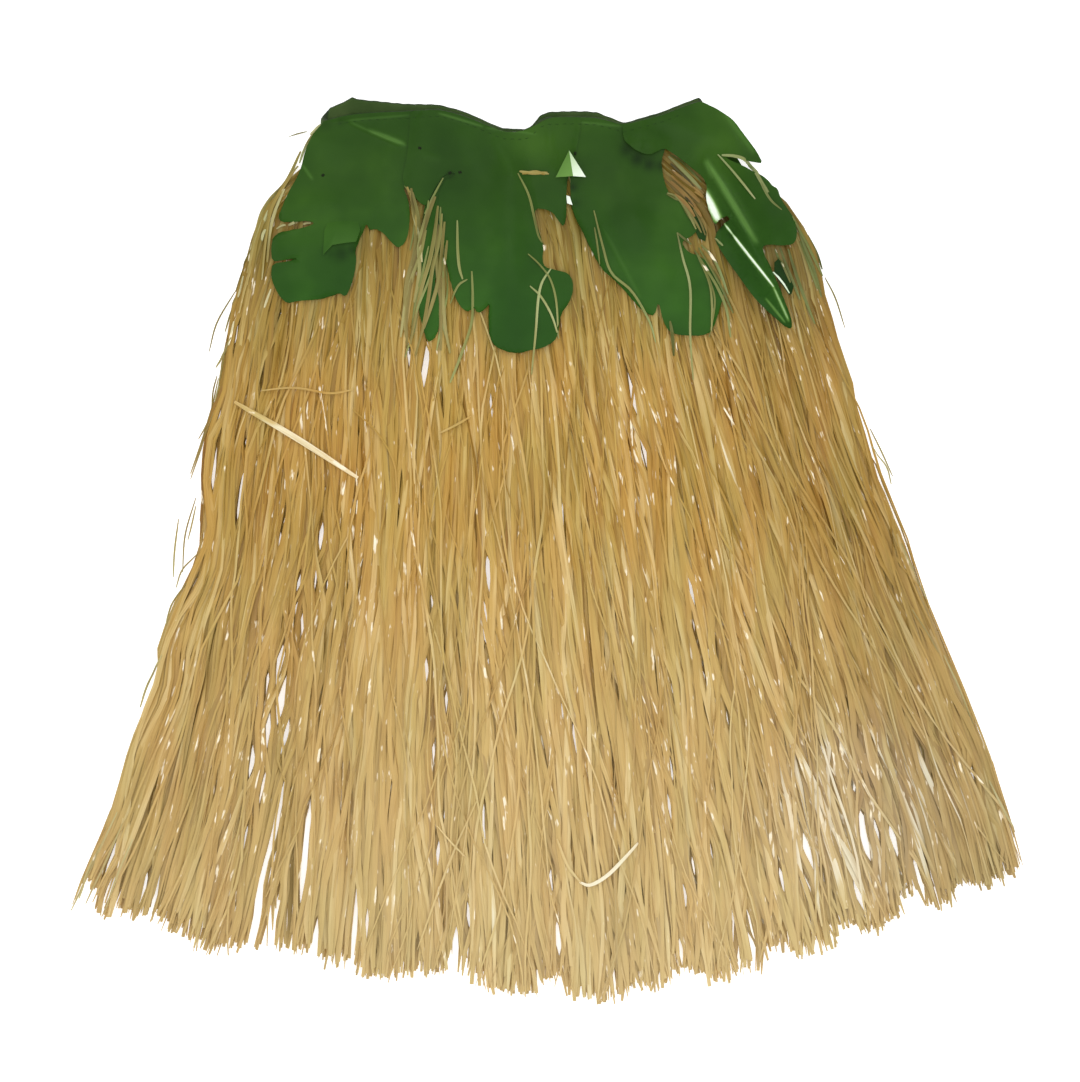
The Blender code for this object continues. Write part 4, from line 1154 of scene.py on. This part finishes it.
def fold_leaf(bm, node, creases, sheen_shade_and_pulls):
    """Raises a leaf's creases, ripples and curled edges, and marks its painted highlights, its painted
    shade and where thread pulls it in.
    """
    in_front = node.startswith("leaf_front")
    for vert in bm.verts:
        x, y = vert.co.x / MM, vert.co.y / MM
        rise, pale = crease_effect(creases, x, y)
        ripple = RIPPLE * math.sin(x / 13.0 + 0.8 * math.sin(y / 21.0)) * math.sin(y / 17.0 + 1.0)
        curl = CURL * vert.is_boundary * max(0.0, math.sin(x / 9.0 + y / 14.0))
        hanging = in_front * float(eased((HANGING_BELOW - y) / HANGING_OVER))
        vert.co.z += (rise + (ripple + curl) * hanging) * MM
        vert[sheen_shade_and_pulls] = pale - float(spot_mask(DARK_SPOTS.get(node, ()), x, y))


green_cloth = leaf_material()
leaves = {}
for node, creases in LEAF_CREASES.items():
    bm = cut_leaf(node) if node in LEAF_CUTS else solid_skin(node)
    lay_on_solid(bm, node, creases)
    sheen_shade_and_pulls = bm.verts.layers.float.new("sheen_shade_and_pulls")
    fold_leaf(bm, node, creases, sheen_shade_and_pulls)
    if node == "leaf_front_centre":
        press_edges(bm, [leaves["leaf_front_left"], leaves["leaf_front_slanting"]])
    add_turned(bm, TURNED.get(node, ()), sheen_shade_and_pulls)
    bmesh.ops.recalc_face_normals(bm, faces=bm.faces)
    for face in bm.faces:
        if face.normal.z < 0:
            face.normal_flip()
    area = sum(face.calc_area() for face in bm.faces)
    bmesh.ops.solidify(bm, geom=bm.verts[:] + bm.edges[:] + bm.faces[:], thickness=LEAF_CLOTH * MM)
    mesh = finished_mesh(bm, node.replace("leaf", "cloth_leaf"))
    mesh.set_sharp_from_angle(angle=SHARP)
    cloth_leaf = add_piece(mesh.name, mesh, [green_cloth])
    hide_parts(node)
    leaves[node] = cloth_leaf


# ---- Stitches: dark green thread that holds the leaves to the band and each other ----
# A row of short stitches runs below the band's edge, front and back, and the
# leaves are tacked together with a few knots.
STITCH_LENGTH, STITCH_GAP, THREAD = 3.4, 2.2, 0.55
STITCHES_BELOW_EDGE = 6.5
STITCH_INSET = 8.0          # from the ends of the band to the first stitch
# A knot is three crossed beads of thread: their half size, and their turns in degrees.
KNOT = Vector((1.7, 0.55, 0.5)) * MM
KNOT_TURNS = (-24, 18, 70)
# Columns: place across, height and the knot's turn in degrees.
TACKS = ((-165, 281, 20), (-92.5, 301, -35), (-70, 282.6, 15), (-62.5, 283, -10),
         (23.5, 297, 60), (133, 246, -25))


def add_stitch(bm, place, turn, size):
    """One stitch: a short flat bead of thread, turned about the upright."""
    made = bmesh.ops.create_icosphere(bm, subdivisions=1, radius=1.0)["verts"]
    shape = Matrix.Diagonal((*size, 1.0))
    bmesh.ops.transform(bm, verts=made, matrix=Matrix.Translation(place)
                        @ Matrix.Rotation(turn, 4, "Z") @ shape)


bm = bmesh.new()
cloth_trees = search_trees(leaves.values())
pitch = STITCH_LENGTH + STITCH_GAP
for side in (1, -1):
    for i in range(int((BAND_ENDS[1] - BAND_ENDS[0] - 2 * STITCH_INSET) / pitch)):
        x = BAND_ENDS[0] + STITCH_INSET + i * pitch
        edge = band_edge(x, 0.5 + 0.5 * side)
        slope = math.atan2(band_edge(x + 2, 0.5 + 0.5 * side) - edge, 2)
        place = surface_at(cloth_trees, x * MM, (edge - STITCHES_BELOW_EDGE) * MM, side)
        if place:
            size = Vector((STITCH_LENGTH / 2, THREAD / 2, THREAD / 3)) * MM
            add_stitch(bm, place, slope + math.radians(6 * math.sin(1.7 * i)), size)
stitched = len(bm.faces)
for x, y, turn in TACKS:
    place = surface_at(cloth_trees, x * MM, y * MM)
    for cross in KNOT_TURNS:
        add_stitch(bm, place, math.radians(turn + cross), KNOT)
bm.faces.ensure_lookup_table()
for face in bm.faces[stitched:]:
    face.material_index = 1
thread_mesh = finished_mesh(bm, "leaf_stitches")
threads = []
for name, colour in (("thread_green", (0.020, 0.056, 0.009)), ("thread_dark", (0.012, 0.018, 0.007))):
    thread, tree, shader = new_material(name)
    connect(tree, shader, {"Base Color": colour, "Roughness": 0.75, "Specular IOR Level": 0.1})
    threads.append(thread)
add_piece("leaf_stitches", thread_mesh, threads)


# ---- Loose strands: raffia that has worked out over the leaves and the edges ----
# Each row is a strand's width and tone, and its points down the skirt.
Loose = namedtuple("Loose", "width tone points")
OVER_LEAVES = (
    Loose(2.2, 0.72, ((-64.5, 247), (-64.2, 226), (-63.0, 212), (-60.5, 203))),
    Loose(2.4, 0.62, ((-53.7, 209), (-53.0, 190), (-54, 170), (-62, 146), (-70, 126))),
    Loose(1.9, 0.66, ((-19.2, 282), (-11.2, 266), (-7.2, 250), (-4, 236), (0, 229))),
    Loose(1.8, 0.60, ((-11.7, 222), (-3, 214), (5, 203), (9.5, 186), (11, 160))),
    Loose(1.7, 0.70, ((-10.2, 198), (-2, 190), (6, 176), (11.5, 159))),
    Loose(1.9, 0.68, ((5.5, 211), (-1, 201), (-4, 188), (-6, 162), (-9, 132))),
    Loose(1.9, 0.66, ((37.6, 254.6), (44.2, 228), (50.7, 208), (66, 194), (79, 172), (84, 156))),
    Loose(1.9, 0.70, ((99.8, 238), (104.1, 219), (109.6, 197), (109.6, 162), (112, 128))),
    Loose(1.6, 0.60, ((99.8, 238), (104.5, 234), (110.7, 229.5))),
    Loose(1.8, 0.66, ((115, 221), (123.7, 201), (125.9, 184), (125.5, 164))),
    Loose(1.8, 0.92, ((130, 296), (140, 285), (150, 273), (158, 263))),
    Loose(3.0, 0.86, ((133, 295.5), (142, 295), (150, 292.5), (157, 286), (162, 277), (168, 268))),
    Loose(1.8, 0.80, ((160, 282), (164, 272), (170, 262), (178, 255))),
    Loose(2.6, 0.05, ((94.5, 172), (96.5, 160), (97.5, 146))),
    Loose(1.8, 0.64, ((94, 297), (105, 290), (118, 276))),
    Loose(1.5, 0.50, ((92, 267), (97, 264), (101, 262))),
    Loose(1.5, 0.46, ((102, 262), (106, 254), (110, 248), (116, 243))),
    Loose(1.5, 0.50, ((118, 217), (125, 200), (128, 185), (124, 160))),
    Loose(1.4, 0.44, ((38, 242), (40, 230), (42, 214))),
    Loose(1.8, 0.76, ((128, 234), (131, 231), (134, 228))),
    Loose(1.8, 0.60, ((-104, 273), (-99, 266), (-96, 255), (-97, 240), (-100, 225))),
    Loose(1.6, 0.66, ((-75, 279), (-82, 266), (-85, 260), (-89, 252))),
    Loose(2.0, 0.58, ((-86, 262), (-88, 245), (-92, 230), (-99, 215))),
    Loose(1.8, 0.48, ((-77, 257), (-77, 246), (-75, 228), (-77, 214))),
    Loose(1.8, 0.66, ((-79, 230), (-85, 205), (-94, 182), (-97, 165), (-104, 145))),
    Loose(1.8, 0.58, ((-76, 228), (-75, 205), (-77, 180), (-74, 162))),
    Loose(2.0, 0.52, ((-86, 228), (-91, 206), (-96, 186), (-99, 160))),
    Loose(1.8, 0.60, ((-73, 215), (-72, 194), (-76, 172), (-80, 150))),
    Loose(1.6, 0.60, ((-57, 203), (-64, 198), (-70, 185))),
    Loose(2.2, 0.48, ((113, 225), (121, 212), (130, 197), (137, 180), (140, 160))),
    Loose(2.0, 0.34, ((116, 227), (126, 210), (134, 195), (142, 178))),
    Loose(2.2, 0.56, ((118, 229), (127, 219), (133, 206), (138, 192))),
    Loose(2.4, 0.42, ((190, 243), (196, 226), (203, 208), (208, 190))),
    Loose(2.2, 0.58, ((186, 250), (194, 236), (202, 220), (209, 206))),
    Loose(2.2, 0.46, ((192, 232), (199, 214), (205, 196))),
    Loose(2.4, 0.52, ((183, 226), (188, 210), (195, 190), (203, 170))),
    Loose(2.2, 0.60, ((177, 227), (184, 208), (192, 188))),
    Loose(1.8, 0.30, ((199, 238), (206, 224), (210, 212))),
    Loose(2.0, 0.40, ((173, 226), (178, 214), (184, 200))),
)
STRAYS = (
    Loose(2.4, 0.86, ((-18, 283.4), (-8, 282.2), (3, 282.6))),
    Loose(2.2, 0.70, ((-16, 281.6), (-6, 283.2), (1, 281.2))),
    Loose(1.8, 0.95, ((-12, 282.8), (-3, 282.4), (4, 281.6))),
    Loose(2.6, 0.80, ((-102, 272), (-98, 260), (-96, 246), (-96, 228))),
    Loose(2.4, 0.90, ((-99.5, 269), (-97.5, 252), (-93, 236), (-91, 216))),
    Loose(2.6, 1.10, ((-165.5, 322), (-170, 319), (-176, 313.5))),
    Loose(2.4, 1.05, ((-169, 318), (-174, 313), (-180, 304))),
    Loose(2.0, 1.00, ((-175, 312), (-180, 303), (-184, 292))),
    Loose(4.4, 0.97, ((-231.5, 111.6), (-186, 85), (-139, 54.7))),
    Loose(2.2, 0.80, ((10, -216), (18, -236), (28, -249))),
    # This pale strand lies in a curl, and its tone above one paints a glint along it.
    Loose(2.8, 1.25, ((27, -248.5), (35, -250.5), (47, -244), (60, -231), (71, -219))),
    Loose(1.8, 0.74, ((-211, 120), (-186, 122), (-160, 118), (-142, 121))),
    Loose(1.6, 0.70, ((-143, 106), (-124, 88), (-112, 66), (-110, 44))),
    Loose(1.8, 0.78, ((-78, 88), (-66, 94), (-54, 101))),
    Loose(1.8, 0.76, ((-50, -187), (-70, -232), (-95, -300))),
    Loose(1.4, 0.80, ((-80, -206), (-66, -222), (-58, -230))),
    Loose(3.0, 0.80, ((-183, 301), (-194, 278), (-207, 263), (-214, 244), (-219, 218))),
    Loose(2.8, 0.90, ((-185, 290), (-196, 271), (-204, 255), (-208, 233), (-211, 203))),
    Loose(3.0, 0.72, ((-189, 284), (-201, 263), (-210, 247), (-216, 226), (-220, 196))),
    Loose(2.4, 1.00, ((-194, 271), (-201, 254), (-205, 237), (-207, 216))),
    Loose(2.6, 0.86, ((-206, 262), (-213, 247), (-218, 226), (-222, 199))),
    Loose(2.2, 0.66, ((-196, 268), (-206, 258), (-213, 240), (-217, 214))),
    Loose(2.4, 1.25, ((-206, 255), (-208, 250), (-210, 245))),
    Loose(2.2, 1.20, ((-208, 241), (-210, 237), (-211, 232))),
    Loose(2.2, 1.30, ((-191, 243.6), (-187, 245.4), (-184, 246.2))),
    Loose(1.8, 1.20, ((-180, 244.4), (-177, 245.4), (-174, 245.4))),
    Loose(2.0, 1.10, ((-200, 241), (-196, 243.4), (-193, 244))),
    Loose(2.2, 0.92, ((-210, 250), (-216, 230), (-222, 208))),
    Loose(2.0, 0.96, ((-218, 214), (-224, 196), (-228, 178))),
    Loose(2.0, 1.15, ((-216, 236), (-219, 226), (-221, 217))),
    Loose(1.8, 1.20, ((-225, 206), (-227, 197), (-229, 190))),
    Loose(1.8, 1.15, ((-232, 172), (-234, 162), (-236, 154))),
    Loose(1.8, 1.20, ((-204, 196), (-207, 188), (-209, 182))),
)
# Thin strands stand out from both edges, in a darker, more olive straw.
EDGE_WISPS = (
    Loose(1.2, 0.58, ((-245, 130), (-252, 100), (-260, 84))),
    Loose(1.2, 0.53, ((-262, 40), (-270, 12), (-272, -16))),
    Loose(1.2, 0.58, ((-232, 196), (-246, 172), (-252, 150))),
    Loose(1.2, 0.63, ((-178, 316), (-186, 314), (-192, 312))),
    Loose(1.2, 0.63, ((-192, 282), (-201, 268), (-206, 254))),
    Loose(1.2, 0.68, ((246, 78), (258, 64), (262, 50))),
    Loose(1.2, 0.68, ((276, -44), (288, -62), (296, -76))),
    Loose(1.7, 0.74, ((334, -172), (346, -196), (355, -212))),
    Loose(1.7, 0.74, ((-330, -216), (-342, -240), (-350, -262))),
    Loose(1.7, 0.63, ((-219, 226), (-226, 212), (-232, 195))),
    Loose(1.4, 0.60, ((-231, 190), (-236, 178), (-240, 165))),
    Loose(1.7, 0.68, ((-234, 160), (-240, 149), (-247, 138))),
    Loose(1.2, 0.58, ((-246, 132), (-249, 120), (-250, 106))),
    Loose(1.2, 0.62, ((-248, 104), (-257, 80), (-266, 54))),
    Loose(1.2, 0.58, ((-260, -2), (-272, -14), (-277, -28))),
    Loose(1.4, 0.64, ((-268, -24), (-280, -40), (-284, -56))),
    Loose(1.7, 0.73, ((-286, -78), (-298, -100), (-304, -118))),
    Loose(1.7, 0.71, ((-320, -196), (-337, -232), (-356, -271))),
    Loose(1.5, 0.66, ((-316, -205), (-331, -238), (-345, -266))),
    Loose(1.5, 0.74, ((-308, -216), (-320, -244), (-330, -272))),
    Loose(1.4, 0.64, ((-250, 108), (-257, 84), (-266, 58))),
    Loose(1.4, 0.66, ((-275, 24), (-278, 0), (-279, -20))),
    Loose(1.2, 0.62, ((-262, 34), (-265, 20), (-268, 8))),
    Loose(1.4, 0.68, ((-240, 148), (-243, 132), (-247, 112))),
    Loose(1.2, 0.71, ((246, 92), (254, 76), (263, 56))),
    Loose(1.2, 0.71, ((268, 6), (277, -14), (287, -36))),
    Loose(1.4, 0.74, ((300, -78), (312, -104), (322, -130))),
    Loose(1.2, 0.71, ((212, 206), (220, 190), (227, 168))),
)
# In the slots between the leaves the strands are a darker, more olive straw: painted shade with a painted
# green cast from the leaves.
BETWEEN_LEAVES = (
    Loose(3.4, 0.52, ((-99, 271), (-97, 256), (-95, 238), (-97, 220), (-103, 198), (-104, 165))),
    Loose(3.2, 0.66, ((-98, 268), (-94, 250), (-93, 232), (-96, 214), (-100, 196))),
    Loose(3.6, 0.44, ((-81, 265), (-86, 252), (-92, 232), (-99, 206), (-103, 176), (-102, 150))),
    Loose(3.4, 0.60, ((-79, 258), (-81, 240), (-85, 218), (-92, 194), (-98, 165), (-101, 148))),
    Loose(3.0, 0.70, ((-84, 262), (-89, 246), (-93, 228), (-93, 208), (-97, 186))),
    Loose(3.2, 0.50, ((-76, 252), (-78, 232), (-83, 212), (-86, 190), (-90, 168), (-96, 146))),
    Loose(3.0, 0.62, ((-74, 246), (-76, 226), (-78, 206), (-83, 186), (-92, 160))),
    Loose(3.2, 0.40, ((-78, 244), (-80, 226), (-79, 206), (-77, 180), (-77, 150))),
    Loose(2.8, 0.56, ((-72, 232), (-74, 214), (-75, 196), (-74, 170), (-70, 148))),
    Loose(2.8, 0.74, ((-88, 240), (-92, 222), (-98, 206), (-103, 188), (-107, 160))),
    Loose(2.8, 0.92, ((93.3, 295.4), (102, 287.2), (111, 278.2), (118, 270.7))),
    Loose(1.8, 0.02, ((95, 290), (106, 279.7), (117, 267.5))),
    Loose(1.6, 0.00, ((97, 273.5), (105, 266), (112.5, 257))),
    Loose(2.2, 0.90, ((92.5, 267.6), (98.5, 265.4), (104, 259.4), (108.5, 252), (114, 240.6))),
    Loose(1.8, 0.60, ((107, 256), (113, 247), (118, 238))),
    Loose(1.6, 0.40, ((112, 256), (117, 247), (121, 236))),
)
# The strands in the slot by the right leaf are a brighter, more orange straw, so that they stay bright
# under the painted shade by the waist.
BRIGHT_IN_SLOT = (
    Loose(3.6, 0.50, ((95.5, 281.2), (106, 272.2), (117, 261))),
    Loose(3.4, 0.40, ((94.8, 276.6), (103.8, 268.4), (114, 257.2))),
    Loose(3.6, 0.60, ((99, 282.5), (109, 273.6), (119.5, 264.6))),
    Loose(3.0, 0.45, ((98, 267), (106, 260), (113, 250))),
    Loose(3.0, 0.66, ((104, 281), (113, 273), (119.8, 267.4))),
    Loose(2.6, 0.30, ((96, 285), (107, 276), (118, 266))),
    Loose(2.8, 0.55, ((108, 262), (114, 256), (118, 250))),
)
LOOSE_POINTS = 22
LOOSE_TIP = 0.12            # how blunt the ends of a loose strand are
LOOSE_ROLL, LOOSE_TURN = 0.25, 0.2      # how far it is rolled, and turns along its length


def smooth_path(points, count):
    """Even points on a smooth curve through a loose strand's marks."""
    marks = np.array(points, float)
    marks = np.vstack([2 * marks[0] - marks[1], marks, 2 * marks[-1] - marks[-2]])
    spans = len(marks) - 3
    path = []
    for at in np.linspace(0, spans - 1e-6, count):
        i, t = int(at), at - int(at)
        a, b, c, d = marks[i:i + 4]
        path.append(0.5 * (2 * b + (c - a) * t + (2 * a - 5 * b + 4 * c - d) * t ** 2
                           + (3 * b - a - 3 * c + d) * t ** 3))
    return np.array(path)


def height_at(trees, x, y):
    """Height of the topmost piece at a place, or of the floor beside the skirt."""
    top = surface_at(trees, x * MM, y * MM)
    return top.z / MM if top else 0.0


def lay_loose(name, table, lift, seed, material):
    """Lays loose strands on whatever is under them, and a lift above that."""
    rng, count = np.random.default_rng(seed), len(table)
    trees = search_trees([*leaves.values(), *grass])
    flat = np.array([smooth_path(loose.points, LOOSE_POINTS) for loose in table])
    fine = [smooth_path(loose.points, 3 * LOOSE_POINTS - 2) for loose in table]
    fine = np.array([[height_at(trees, x, y) for x, y in path] for path in fine])
    fine = np.pad(fine, ((0, 0), (1, 1)), mode="edge")
    up = np.maximum(np.maximum(fine[:, :-2:3], fine[:, 1:-1:3]), fine[:, 2::3])
    # A stiff strand bridges the dips between the points that hold it up.
    for _ in range(3):
        high = np.maximum(np.roll(up, 1, axis=1), np.roll(up, -1, axis=1))
        up[:, 1:-1] = np.maximum(up, 0.5 * up + 0.5 * high)[:, 1:-1]
    up[:, 1:-1] = (up[:, :-2] + up[:, 1:-1] + up[:, 2:]) / 3
    paths = np.concatenate([flat, up[..., None] + lift], axis=-1)
    ends = np.sin(np.linspace(LOOSE_TIP, math.pi - LOOSE_TIP, LOOSE_POINTS)) ** 0.35
    widths = np.array([[loose.width] for loose in table]) * ends[None]
    rolls = LOOSE_ROLL * rng.normal(0.0, 1.0, (count, 1)) + LOOSE_TURN * np.sin(
        np.linspace(0, 5, LOOSE_POINTS))[None]
    tones = np.array([loose.tone for loose in table])
    return lay_strands(name, paths, widths, rolls, tones, material)


dulled_straw = raffia_material("raffia_dulled", DULLED_STRAW)
lay_loose("raffia_over_leaves", OVER_LEAVES, 0.6, 21,
          raffia_material("raffia_green_showing", GREEN_SHOWING_STRAW))
lay_loose("raffia_bright", BRIGHT_IN_SLOT, 0.7, 24, raffia_material("raffia_bright", BRIGHT_STRAW))
lay_loose("raffia_between_leaves", BETWEEN_LEAVES, 0.9, 23, dulled_straw)
lay_loose("raffia_strays", STRAYS, 0.9, 22, straw)
lay_loose("raffia_edge_wisps", EDGE_WISPS, 0.9, 25, dulled_straw)


# ---- Floor and light: a pale sheet under broad soft lamps ----
# The largest lamp hangs high above the skirt. The others stand round it at a slant,
# where the flat leaves don't mirror them.
bm = bmesh.new()
bmesh.ops.create_grid(bm, x_segments=1, y_segments=1, size=4.0)
floor_mesh = bpy.data.meshes.new("floor")
bm.to_mesh(floor_mesh)
bm.free()
floor = bpy.data.objects.new("floor", floor_mesh)
bpy.context.scene.collection.objects.link(floor)
pale_floor, floor_tree, floor_shader = new_material("floor_white")
connect(floor_tree, floor_shader, {"Base Color": (0.92, 0.92, 0.92), "Roughness": 0.9,
                                   "Emission Color": WHITE, "Emission Strength": 0.55})
floor_mesh.materials.append(pale_floor)

Lamp = namedtuple("Lamp", "name place size power")
LAMPS = (
    Lamp("softbox_above", (0.0, 0.1, 3.0), 1.6, 22.0),
    Lamp("softbox_waist", (0.1, 1.6, 1.5), 1.0, 5.0),
    Lamp("softbox_left", (-1.7, 0.0, 1.5), 1.2, 2.5),
    Lamp("softbox_right", (1.7, 0.2, 1.5), 1.2, 2.5),
    Lamp("softbox_hem", (0.0, -1.8, 1.5), 1.2, 2.0),
)
for lamp in LAMPS:
    light = bpy.data.lights.new(lamp.name, "AREA")
    light.shape = "SQUARE"
    light.size = lamp.size
    light.energy = lamp.power
    holder = bpy.data.objects.new(lamp.name, light)
    holder.location = lamp.place
    holder.rotation_euler = (-Vector(lamp.place)).to_track_quat("-Z", "Y").to_euler()
    bpy.context.scene.collection.objects.link(holder)
# The ceiling is dimmer above the skirt, and brighter all round that. Columns: how
# many degrees from straight up, and how bright.
CEILING_EDGE, CEILING_MIDDLE = (38, 0.80), (20, 0.60)
world = bpy.data.worlds.new("studio_white")
world.use_nodes = True
sky = world.node_tree
direction = add_node(sky, "TexCoord", {}, "Generated")
rise = add_node(sky, "SeparateXYZ", {"Vector": direction}, "Z")
ceiling = add_node(sky, "MapRange", {
    "Value": rise,
    "From Min": math.cos(math.radians(CEILING_EDGE[0])), "To Min": CEILING_EDGE[1],
    "From Max": math.cos(math.radians(CEILING_MIDDLE[0])), "To Max": CEILING_MIDDLE[1],
}, "Result", interpolation_type="SMOOTHSTEP")
connect(sky, sky.nodes["Background"], {"Color": WHITE, "Strength": ceiling})
bpy.context.scene.world = world
bpy.context.scene.view_settings.view_transform = "Standard"
